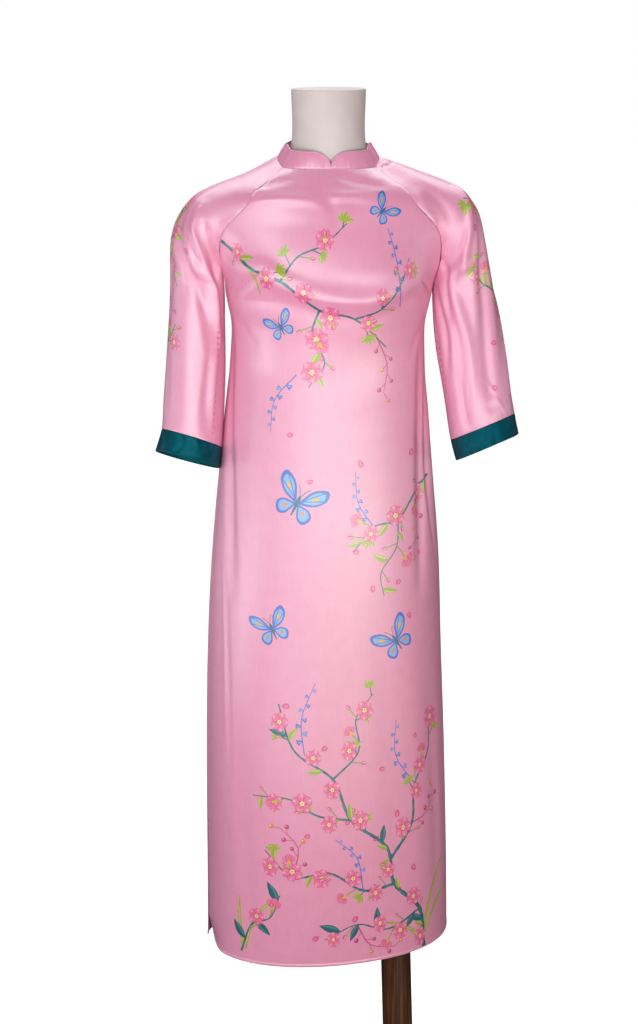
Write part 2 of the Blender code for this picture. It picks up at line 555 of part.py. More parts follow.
def collar_points():
    """Points of the standing collar, from one curved front end round the neck to the other."""
    line, steps = neck_seam()
    girth = steps[-1]
    ends = COLLAR_END * (1 - np.cos(np.linspace(0, np.pi / 2, COLLAR_END_FACES + 1)))
    middle = np.linspace(COLLAR_END, girth - COLLAR_END, COLLAR_FACES - 2 * COLLAR_END_FACES + 1)
    ends = np.maximum(ends, SEAM_GAP)
    at = np.concatenate([ends, middle[1:-1], girth - ends[::-1]])
    base = np.stack([np.interp(at, steps, c) for c in line.T], 1)
    centre = base.mean(0)
    from_end = np.minimum(np.minimum(at, girth - at) / COLLAR_END, 1)
    rounded = np.sqrt(1 - (1 - from_end) ** 2)
    height = (NOTCH_RISE + (COLLAR_RISE - NOTCH_RISE) * rounded) / COLLAR_RISE
    out = base - centre
    out[:, 2] = 0
    facing = out / np.linalg.norm(out, axis=1, keepdims=True)
    middle_lean = np.where(facing[:, 1] < 0, COLLAR_LEAN_FRONT, COLLAR_LEAN_BACK)
    lean = middle_lean + (COLLAR_LEAN - middle_lean) * facing[:, 0] ** 2
    up = np.linspace(0, 1, COLLAR_ROWS + 1)[:, None, None]
    rise = np.array([0, 0, COLLAR_RISE]) - facing * lean[:, None]
    return base + np.array([0, 0, COLLAR_GAP]) + up * height[:, None] * rise


def form_mesh(name):
    """The dress form: closed rings through its sections, with a flat bottom and a flat neck top."""
    sections = Sections(FORM_COLUMNS, FORM)
    order = np.linspace(0, len(FORM) - 1, FORM_RINGS)
    turn = np.linspace(0, 2 * np.pi, FORM_ROUND, endpoint=False)
    work = bmesh.new()
    rings = []
    for k in order:
        half, power = sections("half", k), 2 / sections("power", k)
        depth = np.where(np.cos(turn) > 0, sections("front", k), sections("back", k))
        x = half * np.sign(np.sin(turn)) * np.abs(np.sin(turn)) ** power
        y = -depth * np.sign(np.cos(turn)) * np.abs(np.cos(turn)) ** power
        mid_z, side_z = sections("mid_z", k), sections("side_z", k)
        z = mid_z + (side_z - mid_z) * np.sin(turn) ** 2
        fade = np.interp(z, *zip(*TILT_RISE))
        rings.append([
            work.verts.new((float(a + FORM_CENTRE), float(b), float(c + FORM_TILT * a * f)))
            for a, b, c, f in zip(x, y, z, fade)
        ])
    for low, high in zip(rings, rings[1:]):
        for i in range(FORM_ROUND):
            j = (i + 1) % FORM_ROUND
            work.faces.new((low[i], low[j], high[j], high[i]))
    work.faces.new(rings[0][::-1])
    work.faces.new(rings[-1])
    mesh = bpy.data.meshes.new(name)
    work.to_mesh(mesh)
    work.free()
    return mesh


def plate(name, radius, thick, edge, place, made_of):
    """A round plate with a chamfered upper edge, its underside's centre at place."""
    profile = [(0, thick), (radius - edge, thick), (radius, thick - edge), (radius, 0), (0, 0)]
    mesh = bpy.data.meshes.new(name)
    mesh.from_pydata([(r, 0, z) for r, z in profile], [(i, i + 1) for i in range(len(profile) - 1)], [])
    obj = add_object(name, mesh, made_of)
    obj.location = place
    screw = obj.modifiers.new("turn", "SCREW")
    screw.steps = screw.render_steps = STAND_STEPS
    screw.use_merge_vertices = True
    screw.merge_threshold = SCREW_MERGE
    return obj


def leaning_pole(name, bottom, top, made_of):
    """A round pole whose ends are cut level, leaning from its foot to its head."""
    work = bmesh.new()
    bmesh.ops.create_cone(work, cap_ends=True, segments=STAND_STEPS // 2, radius1=POLE_RADIUS,
                          radius2=POLE_RADIUS, depth=top - bottom)
    for vert in work.verts:
        vert.co.z += (top + bottom) / 2
        vert.co.x += POLE_FOOT_X if vert.co.z < (top + bottom) / 2 else POLE_HEAD_X
    mesh = bpy.data.meshes.new(name)
    work.to_mesh(mesh)
    work.free()
    return add_object(name, mesh, made_of)


# ---- Build
for old in list(bpy.data.objects):
    bpy.data.objects.remove(old, do_unlink=True)
collection = bpy.data.collections.new("ao_dai_tunic")
bpy.context.scene.collection.children.link(collection)

for name, table, way, folds in (
    ("front", front, -1, FRONT_FOLDS),
    ("back", back, 1, BACK_FOLDS),
):
    satin = material("pink_satin_" + name, PINK, SATIN)
    panel_object(name + "_panel", table, way, folds, satin)

for name, side in (("left", -1), ("right", 1)):
    last = len(CONTROLS[side]) - 1
    cuff_top = last - 1
    above = np.linspace(0, FIRST_TUBE, YOKE_FACES + 1)[:-1]
    below = np.linspace(FIRST_TUBE, cuff_top - CUFF_GAP, TUBE_FACES + 1)
    satin = material("pink_satin_sleeve_" + name, PINK, SATIN)
    sleeve_object("sleeve_" + name, side, [*above, *below], satin)
    cuff_rows = np.linspace(cuff_top + CUFF_GAP, last, CUFF_FACES + 1)
    satin = material("teal_satin_cuff_" + name, TEAL, SATIN)
    sleeve_object("cuff_" + name, side, list(cuff_rows), satin)

satin = material("pink_satin_collar", PINK, SATIN)
cloth_object("collar", grid_mesh("collar", collar_points()), satin)
add_object("dress_form", form_mesh("dress_form"), material("cream_matte_paint", CREAM, MATTE))

foot_bottom = BASE_THICK + SEAT_GAP
foot_top = foot_bottom + FOOT_THICK
flange_bottom = FORM[0][1] - SEAT_GAP - FLANGE_THICK
for name, radius, thick, edge, place in (
    ("stand_base", BASE_RADIUS, BASE_THICK, BASE_EDGE, (0, 0, 0)),
    ("pole_foot", FOOT_RADIUS, FOOT_THICK, PLATE_EDGE, (POLE_FOOT_X, 0, foot_bottom)),
    ("pole_flange", FLANGE_RADIUS, FLANGE_THICK, PLATE_EDGE, (POLE_HEAD_X, 0, flange_bottom)),
):
    steel = material("black_steel_" + name, STEEL, PAINT)
    plate(name, radius, thick, edge, place, steel)
wood = material("dark_stained_wood", WOOD, POLISH)
leaning_pole("pole", foot_top + SEAT_GAP, flange_bottom - SEAT_GAP, wood)
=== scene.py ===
"""Ao dai tunic of printed pink satin on a limbless dress form, which stands on a wooden pole.

Built from the floor up: steel base and pole, dress form, front and back panels, raglan sleeves,
cuff bands and standing collar, then the floor, lamps and camera. Metres, +Z up, front towards -Y.
Cloth is flat pattern pieces laid on a form: each point is the form's point plus its normal times
a relief, the sum of bell-shaped creases and of rolled and puckered edges. Tables are in millimetres.
"""

import math

import bpy
import numpy as np
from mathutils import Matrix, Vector
from mathutils.geometry import delaunay_2d_cdt


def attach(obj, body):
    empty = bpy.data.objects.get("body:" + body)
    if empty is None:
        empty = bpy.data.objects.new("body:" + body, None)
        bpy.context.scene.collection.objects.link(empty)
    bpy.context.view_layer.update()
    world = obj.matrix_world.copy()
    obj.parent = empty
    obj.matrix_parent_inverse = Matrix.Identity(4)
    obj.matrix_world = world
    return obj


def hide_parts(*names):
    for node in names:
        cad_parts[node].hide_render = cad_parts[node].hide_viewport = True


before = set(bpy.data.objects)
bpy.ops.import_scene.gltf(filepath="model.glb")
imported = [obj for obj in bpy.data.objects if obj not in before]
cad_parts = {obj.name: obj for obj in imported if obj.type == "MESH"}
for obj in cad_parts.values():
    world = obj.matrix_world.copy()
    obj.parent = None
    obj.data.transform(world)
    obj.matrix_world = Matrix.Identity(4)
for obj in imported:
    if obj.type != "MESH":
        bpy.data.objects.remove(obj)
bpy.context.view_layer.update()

# ---- Stand base, pole foot and pole flange
# Round steel plates, turned on a lathe with a rounded upper edge and powder coated black. The
# foot is bolted to the base from below, and the flange to the form from inside.


def linear(hex_colour):
    """An sRGB hex colour as linear red, green, blue and alpha: each channel is raised by the sRGB curve."""
    srgb = np.array([int(hex_colour[i : i + 2], 16) / 255 for i in (1, 3, 5)])
    return (*np.where(srgb <= 0.04045, srgb / 12.92, ((srgb + 0.055) / 1.055) ** 2.4).tolist(), 1.0)


def feed(node, inputs):
    """Gives a node's sockets their values, or links the sockets that they come from."""
    for name, value in inputs.items():
        if isinstance(value, bpy.types.NodeSocket):
            node.id_data.links.new(value, node.inputs[name])
        else:
            node.inputs[name].default_value = value


def add_node(tree, kind, settings, **inputs):
    """Adds a node with its own properties, or a ramp's (place, colour) stops, as settings, and its sockets as inputs.

    An underscore in a socket's name stands for a space.
    """
    node = tree.nodes.new(kind)
    for name, value in settings.items():
        if name != "stops":
            setattr(node, name, value)
    for i, (place, colour) in enumerate(settings.get("stops", ())):
        stop = node.color_ramp.elements[i] if i < 2 else node.color_ramp.elements.new(place)
        stop.position, stop.color = place, linear(colour)
    feed(node, {name.replace("_", " "): value for name, value in inputs.items()})
    return node


def new_finish(name, **sockets):
    """A material with one Principled shader, whose sockets take the same values all over."""
    finish = bpy.data.materials.new(name)
    finish.use_nodes = True
    shader = finish.node_tree.nodes["Principled BSDF"]
    feed(shader, {socket.replace("_", " "): value for socket, value in sockets.items()})
    return finish, finish.node_tree, shader


def coated(name, stops, spots, detail, grain, bumpy, **sockets):
    """A coat whose colour wanders between the stops, spots to a metre, over a bump of the grain's size in metres."""
    finish, tree, shader = new_finish(name, **sockets)
    coords = add_node(tree, "ShaderNodeTexCoord", {}).outputs["Object"]
    mottle = add_node(tree, "ShaderNodeTexNoise", {}, Vector=coords, Scale=spots, Detail=detail)
    colour = add_node(tree, "ShaderNodeValToRGB", {"stops": stops}, Fac=mottle.outputs["Fac"])
    fine = add_node(tree, "ShaderNodeTexNoise", {}, Vector=coords, Scale=1 / grain, Detail=2.0)
    bump = add_node(tree, "ShaderNodeBump", {}, Height=fine.outputs["Fac"], Distance=0.0001, Strength=bumpy)
    feed(shader, {"Base Color": colour.outputs["Color"], "Normal": bump.outputs["Normal"]})
    return finish, tree, shader, coords


def place_piece(name, mesh, finish, node):
    """Puts a mesh in the scene as a piece that rides on the part and stands for its CAD solid."""
    piece = bpy.data.objects.new(name, mesh)
    bpy.context.scene.collection.objects.link(piece)
    mesh.materials.append(finish)
    mesh.shade_smooth()
    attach(piece, "root")
    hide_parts(node)
    return piece


def ring_mesh(name, rings):
    """Quads between closed rings of points (rows, columns, 3), with a flat fan over the first and the last ring."""
    rows, columns = rings.shape[:2]
    number = np.arange(rows * columns).reshape(rows, columns)
    after = np.roll(number, -1, axis=1)
    quads = np.stack([number[:-1], after[:-1], after[1:], number[1:]], -1).reshape(-1, 4)
    low, high = np.full(columns, rows * columns), np.full(columns, rows * columns + 1)
    fans = np.concatenate([np.stack([after[0], number[0], low], -1), np.stack([number[-1], after[-1], high], -1)])
    points = np.concatenate([rings.reshape(-1, 3), rings[0].mean(0)[None], rings[-1].mean(0)[None]])
    mesh = bpy.data.meshes.new(name)
    mesh.from_pydata(points.tolist(), [], quads.tolist() + fans.tolist())
    return mesh


def plate(radius, thick, edge, centre, bottom):
    """Rings of a turned plate: flat underside, straight rim, quarter-round upper edge and flat top."""
    bend, flat = np.linspace(0, np.pi / 2, 6), bottom + thick
    corner = np.stack([radius - edge + edge * np.cos(bend), flat - edge + edge * np.sin(bend)], 1)
    under = [(0.5 * radius, bottom), (radius - edge, bottom), (radius - 0.0003, bottom), (radius, bottom + 0.0003)]
    out, height = np.concatenate([under, corner, [(radius - 2 * edge, flat), (0.5 * radius, flat)]]).T[:, :, None]
    turn = np.linspace(0, 2 * np.pi, PLATE_STEPS, endpoint=False)
    return np.stack(np.broadcast_arrays(out * np.cos(turn) + centre, out * np.sin(turn), height), -1)


SEAT_GAP = 0.0003  # between two rigid pieces that rest on each other
BASE_THICK, FOOT_THICK, FLANGE_THICK, PLATE_EDGE = 0.0080, 0.0120, 0.0060, 0.0015
POLE_RADIUS, POLE_FOOT_X, POLE_HEAD_X = 0.0230, 0.1125, 0.0880
FORM_BOTTOM = 0.8010
PLATE_STEPS, POLE_STEPS, FORM_STEPS = 160, 96, 128  # corners of a round section

# Powder-coated steel: matt black with a 1.2 mm orange peel, a little paler where dust lies.
steel = coated("black_powder_coated_steel", ((0.35, "#161617"), (0.75, "#29292b")), 9.0, 5.0, 0.0012, 0.5,
               Roughness=0.46, Metallic=0.0, IOR=1.5)[0]
foot_bottom = BASE_THICK + SEAT_GAP
flange_bottom = FORM_BOTTOM - SEAT_GAP - FLANGE_THICK
for name, radius, thick, edge, centre, bottom in (
    ("stand_base", 0.1950, BASE_THICK, 0.0020, 0.0, 0.0),
    ("pole_foot", 0.0360, FOOT_THICK, PLATE_EDGE, POLE_FOOT_X, foot_bottom),
    ("pole_flange", 0.0400, FLANGE_THICK, PLATE_EDGE, POLE_HEAD_X, flange_bottom),
):
    mesh = ring_mesh(name + "_plate", plate(radius, thick, edge, centre, bottom))
    place_piece(name + "_plate", mesh, steel, name)

# ---- Pole
# A round pole of hardwood, stained dark brown and varnished, that leans a little from its foot to
# its flange. Its ends are cut level and their edges broken.
POLE_BOTTOM, POLE_TOP = foot_bottom + FOOT_THICK + SEAT_GAP, flange_bottom - SEAT_GAP
GRAIN_WIDE, GRAIN_LONG = 0.0028, 0.11  # pores and growth lines of the grain
POLE_CHAMFER = 0.0006

rise = np.concatenate([[0, 0.0006], np.linspace(0.01, 0.99, 40), [0.9994, 1]])[:, None]
radius = POLE_RADIUS - np.where((rise == 0) | (rise == 1), POLE_CHAMFER, 0)
turn = np.linspace(0, 2 * np.pi, POLE_STEPS, endpoint=False)
rings = np.stack(np.broadcast_arrays(POLE_FOOT_X + (POLE_HEAD_X - POLE_FOOT_X) * rise + radius * np.cos(turn),
                                     radius * np.sin(turn), POLE_BOTTOM + (POLE_TOP - POLE_BOTTOM) * rise), -1)

# Stained hardwood: long dark pores in reddish brown, under a thin varnish that softens the shine.
wood, tree, shader = new_finish("dark_stained_hardwood", Roughness=0.42, IOR=1.5, Coat_Weight=0.25, Coat_Roughness=0.3)
coords = add_node(tree, "ShaderNodeTexCoord", {}).outputs["Object"]
stretched = [add_node(tree, "ShaderNodeMapping", {}, Vector=coords, Scale=scale).outputs["Vector"]
             for scale in ((1 / GRAIN_WIDE, 1 / GRAIN_WIDE, 1 / GRAIN_LONG), (70.0, 70.0, 3.5))]
pores, figure = (
    add_node(tree, "ShaderNodeTexNoise", {}, Vector=vector, Scale=1.0, Detail=detail, Roughness=rough).outputs["Fac"]
    for vector, detail, rough in zip(stretched, (4.0, 3.0), (0.6, 0.5)))
mixed = add_node(tree, "ShaderNodeMix", {}, Factor=0.4, A=pores, B=figure)
colour = add_node(tree, "ShaderNodeValToRGB", {"stops": ((0.34, "#1d0c02"), (0.5, "#43230b"), (0.66, "#6c431b"))},
                  Fac=mixed.outputs["Result"])
bump = add_node(tree, "ShaderNodeBump", {}, Height=pores, Distance=0.0002, Strength=0.4)
feed(shader, {"Base Color": colour.outputs["Color"], "Normal": bump.outputs["Normal"]})
place_piece("pole_wood", ring_mesh("pole_wood", rings), wood, "pole")

# ---- Dress form
# A limbless form of glass-fibre shell, sprayed matte cream, with a bare neck cut flat and closed
# shoulders. Only its neck shows above the collar. It is lofted through level sections.


def spline(knots, values, at):
    """Natural cubic spline: the curve through the values whose bend is continuous and ends at zero."""
    step, count = np.diff(knots), len(knots)
    matrix, right = np.eye(count), np.zeros((count,) + values.shape[1:])
    for i in range(1, count - 1):
        before, after = values[i] - values[i - 1], values[i + 1] - values[i]
        matrix[i, i - 1 : i + 2] = step[i - 1], 2 * (step[i - 1] + step[i]), step[i]
        right[i] = 6 * (after / step[i] - before / step[i - 1])
    bend = np.linalg.solve(matrix, right)
    at = np.clip(np.asarray(at, float), knots[0], knots[-1])
    i = np.clip(np.searchsorted(knots, at) - 1, 0, count - 2)
    extra = (...,) + (None,) * (values.ndim - 1)
    run, h = (at - knots[i])[extra], step[i][extra]
    slope = (values[i + 1] - values[i]) / h - h * (2 * bend[i] + bend[i + 1]) / 6
    return values[i] + run * (slope + run * (bend[i] / 2 + run * (bend[i + 1] - bend[i]) / (6 * h)))


def metres(columns, rows):
    """A table as columns by name: millimetres become metres, but a column marked * holds plain numbers."""
    scales = [1 if "*" in name else 1000 for name in columns.split()]
    return dict(zip(columns.replace("*", "").split(), (np.array(rows, float) / scales).T))


def sections(columns, rows):
    """A table as a function of (column, place): the spline through that column, kept within its range."""
    found = metres(columns, rows)
    knots = next(iter(found.values()))

    def read(column, at):
        values = found[column]
        return np.clip(spline(knots, values, at), values.min(), values.max())

    return read


# mid_z and side_z: the section's height at its centre and its sides; power: 2 for an oval.
FORM = (
    (0, 801, 801, 118, 86, 90, 2.2),
    (1, 812, 812, 133, 98, 103, 2.2),
    (2, 840, 840, 140, 103, 109, 2.2),
    (3, 910, 910, 143, 105, 112, 2.2),
    (4, 980, 980, 138, 102, 110, 2.2),
    (5, 1050, 1050, 131, 96, 100, 2.2),
    (6, 1120, 1120, 126, 92, 86, 2.2),
    (7, 1190, 1190, 124, 92, 80, 2.2),
    (8, 1250, 1250, 129, 106, 85, 2.3),
    (9, 1295, 1298, 137, 111, 89, 2.3),
    (10, 1330, 1340, 150, 104, 91, 2.3),
    (11, 1356, 1378, 161, 94, 90, 2.3),
    (12, 1378, 1406, 160, 82, 84, 2.1),
    (13, 1398, 1426.8, 144, 70, 76, 2),
    (14, 1416, 1440, 121, 61, 68, 1.9),
    (15, 1432, 1448.1, 95, 56, 61, 1.9),
    (16, 1445, 1452.5, 72, 53, 55.5, 1.95),
    (17, 1464, 1469, 57.5, 54, 51.5, 2),
    (18, 1490, 1491, 52, 54, 49, 2),
    (19, 1525, 1525, 51.8, 54, 49, 2),
    (20, 1555, 1555, 52.8, 55, 50, 2),
    (21, 1559, 1559, 51.2, 53.4, 48.4, 2),
)
FORM_TILT = 0.027  # how much higher the viewer's right shoulder is, for each metre across
FORM_CENTRE = 0.0005
TILT_RISE = ((1.10, 0.0), (1.30, 1.0), (1.44, 1.0), (1.49, 0.0))  # share of the tilt by height
CAP_SHRINK = 0.97  # the ring inside each end's edge, so that the edge stays crisp

form = sections("order* mid_z side_z half front back power*", FORM)
order = np.concatenate([np.linspace(0, 20, 141), 20 + np.linspace(0, 1, 9)[1:]])[:, None]
turn = np.linspace(0, 2 * np.pi, FORM_STEPS, endpoint=False)
power = 2 / form("power", order)
depth = np.where(np.cos(turn) > 0, form("front", order), form("back", order))
x = form("half", order) * np.sign(np.sin(turn)) * np.abs(np.sin(turn)) ** power
y = -depth * np.sign(np.cos(turn)) * np.abs(np.cos(turn)) ** power
z = form("mid_z", order) + (form("side_z", order) - form("mid_z", order)) * np.sin(turn) ** 2
z = z + FORM_TILT * x * np.interp(z, *zip(*TILT_RISE))
rings = np.stack([x + FORM_CENTRE, y, z], -1)
low, high = ((ring - ring.mean(0)) * CAP_SHRINK + ring.mean(0) for ring in (rings[0], rings[-1]))
rings = np.concatenate([low[None], rings, high[None]])

# Sprayed paint on glass fibre: chalky cream with a 2.2 mm stipple and a few warmer rubbed spots.
cream = coated("matte_cream_sprayed_shell", ((0.3, "#cfc4c0"), (0.7, "#dbd2cf")), 14.0, 4.0, 0.0022, 0.35,
               Roughness=0.62, IOR=1.45)[0]
place_piece("form_shell", ring_mesh("form_shell", rings), cream, "dress_form")

# ---- Front panel
# Polyester satin, printed and cut in one length from the neck to the hem. Its two bust darts and
# its raglan and side seams are sewn, and its slit edges and hem are turned under twice by hand.
SEAM_GAP = 0.00012  # room between two edges that are sewn together
NECK_TOP, NAPE = 1.452, 1.466  # heights of the front and the back neck seam at the raglan corners
ARMPIT, SLIT_TOP = 1.2732, 1.148
SLIT_PART, SLIT_FADE = 0.0012, 0.20  # how far each slit edge draws back, and over what height
PANEL_LOW = 0.280
HEM = 0.2825  # height of the hem at the centre front and back
HEM_RISE, HEM_POWER = 0.0065, 4  # how far the hem climbs evenly towards its corners
CORNER_RISE, CORNER_POWER = 0.013, 24  # and how far more in the last few centimetres
TUCK_REACH = 0.055  # how far from the edge a tuck fades out
CORNER_TOP, CORNER_FADE, CORNER_TUCK = 0.332, 0.03, 0.7  # the left corner's tuck: top, fade and share
RIGHT_TUCK = 0.15  # share of the right-hand tuck that is left to the hanging cloth
READ_STEPS = 40  # places at which a section's length is added up

# How the garment sits: its centre line and how far its front is turned, by height.
STANCE = (
    (280, 0.5, 15.5),
    (400, 0, 14.8),
    (500, -1.5, 14),
    (750, -4.5, 11.5),
    (963, -2.5, 8),
    (1148, -1.2, 4.5),
    (1270, 1, 3),
    (1380, 0.5, 3),
    (1466, -1.5, 5),
)
# half: from the centre line to the edge; edge and depth: the edge's and the centre line's depth
# from the middle plane; turn: how far the section has turned at its edge; flat, round: how far it
# stays straight at its centre and its edge; tuck: how far an open edge is drawn in.
PANEL_COLUMNS = "height half edge depth turn* flat* round* lift tuck_left tuck_right"
FRONT = (
    (280, 187.2, 0, 129, 90, 0.6, 0.56, 0, 9.5, 0),
    (400, 185, 0, 129, 90, 0.6, 0.56, 0, 6, 0),
    (500, 183.2, 0, 128.5, 90, 0.6, 0.56, 0, 3.5, 0),
    (650, 179.5, 0, 127, 90, 0.6, 0.56, 0, 1, 0),
    (750, 175.2, 0, 126, 90, 0.6, 0.56, 0, 0, 0),
    (870, 169.5, 0, 123.5, 90, 0.6, 0.56, 0, 0, 2.5),
    (965, 161.8, 0, 119.5, 90, 0.6, 0.56, 0, 0, 11.5),
    (1020, 156.2, 0, 116, 90, 0.6, 0.56, 0, 0, 14),
    (1112, 146.6, 0, 109, 90, 0.6, 0.56, 0, 0, 5),
    (1148, 142.7, 0, 107, 90, 0.6, 0.56, 0, 0, 0),
    (1195, 139.9, 0, 108.5, 90, 0.6, 0.56, 0, 0, 0),
    (1230, 140, 0, 115, 90, 0.59, 0.56, 0, 0, 0),
    (1273.2, 148.5, 2, 122.5, 89, 0.56, 0.56, 0, 0, 0),
    (1287.5, 150, 18, 123, 80, 0.54, 0.54, 0, 0, 0),
    (1311, 155, 36, 121.5, 62, 0.5, 0.5, 0, 0, 0),
    (1334.5, 156.5, 48, 116, 48, 0.46, 0.45, 0, 0, 0),
    (1352, 155.5, 56, 110.5, 38, 0.43, 0.41, 0, 0, 0),
    (1365, 151.5, 61, 106, 33, 0.41, 0.38, 0, 0, 0),
    (1378, 142.7, 65.5, 101.5, 29, 0.4, 0.36, 0, 0, 0),
    (1404, 118.5, 71.5, 92.5, 27, 0.4, 0.35, 0, 0, 0),
    (1426.5, 101, 63, 80.5, 32, 0.42, 0.37, 0, 0, 0),
    (1438, 84, 53, 72.5, 40, 0.45, 0.42, 0, 0, 0),
    (1452, 66.4, 36, 62.5, 56, 0.5, 0.5, 0, 0, 0),
)
stance, front = sections("height centre_x twist*", STANCE), sections(PANEL_COLUMNS, FRONT)


def stack(*parts):
    """Coordinates of any shapes side by side as points."""
    return np.stack(np.broadcast_arrays(*parts), axis=-1)


def unit(vectors):
    """Each vector divided by its length."""
    return vectors / np.maximum(np.linalg.norm(vectors, axis=-1, keepdims=True), 1e-12)


def eased(share):
    """A share kept from 0 to 1, with a level start and end: three times its square less twice its cube."""
    share = np.clip(share, 0, 1)
    return share**2 * (3 - 2 * share)


def bezier(points, t):
    """The cubic that leaves its first point towards the second and reaches its last from the third."""
    t = np.asarray(t)[..., None]
    a, b, c, d = points
    return a * (1 - t) ** 3 + 3 * b * t * (1 - t) ** 2 + 3 * c * t**2 * (1 - t) + d * t**3


def arc_lengths(points):
    """The length along each curve up to READ_STEPS even places on it."""
    steps = np.linspace(0, 1, READ_STEPS + 1)
    line = np.stack([bezier(points, np.full(points[0].shape[:-1], t)) for t in steps])
    run = np.linalg.norm(np.diff(line, axis=0), axis=-1).cumsum(0)
    return np.concatenate([np.zeros((1,) + run.shape[1:]), run])


def at_length(points, length):
    """The point of each curve at its own length from the start."""
    total = arc_lengths(points)
    cell = np.clip((total[1:-1] <= length).sum(0), 0, READ_STEPS - 1)
    low, high = (np.take_along_axis(total, cell[None] + k, 0)[0] for k in (0, 1))
    return bezier(points, (cell + (length - low) / (high - low)) / READ_STEPS)


def placed(x, y, z):
    """A point of the body's own frame, turned by the stance's twist and moved to its centre line."""
    twist = np.radians(stance("twist", z))
    return stack(x * np.cos(twist) - y * np.sin(twist) + stance("centre_x", z),
                 x * np.sin(twist) + y * np.cos(twist), z)


def panel(table, way, share, z):
    """Points of a panel and their distance from its centre line. share is -1 at the left edge and 1 at the right.

    Each level section is a Bezier arc from the centre line to its edge. way: -1 front, 1 back.
    """
    share, z = np.broadcast_arrays(share, z)
    half, edge, depth, turn = (table(column, z) for column in ("half", "edge", "depth", "turn"))
    turn = np.radians(turn)
    run = table("round", z) * (half * np.cos(turn) + (depth - edge) * np.sin(turn))
    row = [stack(0 * half, way * depth, 0), stack(table("flat", z) * half, way * depth, 0),
           stack(half - run * np.cos(turn), way * (edge + run * np.sin(turn)), 0), stack(half, way * edge, 0)]
    length = arc_lengths(row)[-1]
    point = at_length(row, np.abs(share) * length)
    corner = CORNER_TUCK * table("tuck_left", z) * np.clip((CORNER_TOP - z) / CORNER_FADE, 0, 1)
    tuck = np.where(share < 0, corner, RIGHT_TUCK * table("tuck_right", z))
    near = eased(1 - (1 - np.abs(share)) * length / TUCK_REACH)
    found = placed(np.sign(share) * (point[..., 0] - tuck * near), point[..., 1], z)
    found[..., 2] += table("lift", z) * (1 - share**2)
    return found, share * length


def hem_height(share):
    """The hem climbs towards its corners: a fourth power of the share, and a far steeper one near the end."""
    share = np.abs(share)
    return HEM + HEM_RISE * share**HEM_POWER + CORNER_RISE * share**CORNER_POWER


class Cut:
    """A flat pattern piece laid on its form: u runs across it and v up it, in metres.

    The form is a grid of points, its rows at the heights v of the pattern. left and right are
    where the piece ends on each row. A place is read from the grid's four nearest points.
    """

    def __init__(self, points, v, left, right, facing):
        self.v, self.left, self.right, self.facing = v, left, right, facing
        across, up = np.gradient(points, axis=1), np.gradient(points, axis=0)
        self.fields = np.concatenate([points, unit(facing * np.cross(across, up)), unit(across)], -1)
        self.slope = [np.cos(np.arctan(np.gradient(side, v))) for side in (left, right)]

    def sides(self, u, v):
        """Distance to the left and the right edge: the level distance times the cosine of the edge's slant."""
        left, right, left_slope, right_slope = (
            np.interp(v, self.v, side) for side in (self.left, self.right, *self.slope))
        return [(u - left) * left_slope, (right - u) * right_slope]

    def read(self, u, v):
        """Form points, normals and directions of u, weighted by nearness to the grid's lines."""
        rows, columns = self.fields.shape[:2]
        left, right = (np.interp(v, self.v, side) for side in (self.left, self.right))
        row = np.clip(np.interp(v, self.v, np.arange(rows)), 0, rows - 1.001)
        # Each half of the grid has even columns, from the centre line to its own edge.
        column = (np.where(u < 0, -u / left, u / right) + 1) * (columns - 1) / 2
        column = np.clip(column, 0, columns - 1.001)
        r, c = row.astype(int), column.astype(int)
        a, b = (row - r)[:, None], (column - c)[:, None]
        f = self.fields
        found = (1 - a) * ((1 - b) * f[r, c] + b * f[r, c + 1]) + a * ((1 - b) * f[r + 1, c] + b * f[r + 1, c + 1])
        return found[:, :3], unit(found[:, 3:6]), unit(found[:, 6:])


def inside(points, outline):
    """Winding rule: a point is inside where the outline's risings and fallings to its right don't cancel."""
    x, y = points[:, 0, None], points[:, 1, None]
    ax, ay = outline.T
    bx, by = np.roll(outline, -1, axis=0).T
    rising, falling = (ay <= y) & (by > y), (ay > y) & (by <= y)
    left_of = (bx - ax) * (y - ay) - (x - ax) * (by - ay)
    return ((rising & (left_of > 0)).sum(1) - (falling & (left_of < 0)).sum(1)) != 0


EVEN_ROW = 0.866  # height of an even triangle of side 1
SAME_PLACE, NO_AREA = 1e-3, 1e-12  # nearer corners are one, in mm; smaller triangles are dropped, in square metres
CHUNK = 2000  # triangles that are tested at a time


def honeycomb(low, high, step):
    """Points of a grid whose odd rows are shifted by half a step."""
    u, v = np.meshgrid(np.arange(low[0], high[0], step), np.arange(low[1], high[1], step * EVEN_ROW))
    return np.stack([u + (np.arange(len(v)) % 2)[:, None] * step / 2, v], -1).reshape(-1, 2)


def triangles(points, edges, outline):
    """Delaunay triangles over points and edges, worked in millimetres, kept where they lie inside the outline."""
    middle = outline.mean(0)
    corners = [Vector(p) for p in ((points - middle) * 1000).tolist()]
    found = delaunay_2d_cdt(corners, edges.tolist(), [], 0, SAME_PLACE, False)
    places = np.array([tuple(p) for p in found[0]]) / 1000 + middle
    faces = np.array(found[2])
    corner = places[faces]
    area = np.cross(corner[:, 1] - corner[:, 0], corner[:, 2] - corner[:, 0])
    faces = np.where((area < 0)[:, None], faces[:, ::-1], faces)
    centre = corner.mean(1)
    keep = np.concatenate([inside(part, outline) for part in np.array_split(centre, len(centre) // CHUNK + 1)])
    used, faces = np.unique(faces[keep & (np.abs(area) > NO_AREA)], return_inverse=True)
    return places[used], faces.reshape(-1, 3)


def rim_edges(faces):
    """The directed edges that only one face has."""
    edges = np.stack([faces.T.ravel(), np.roll(faces, -1, axis=1).T.ravel()], 1)
    key = np.sort(edges, axis=1) @ np.array([1 << 24, 1])
    _, first, count = np.unique(key, return_index=True, return_counts=True)
    return edges[first[count == 1]]


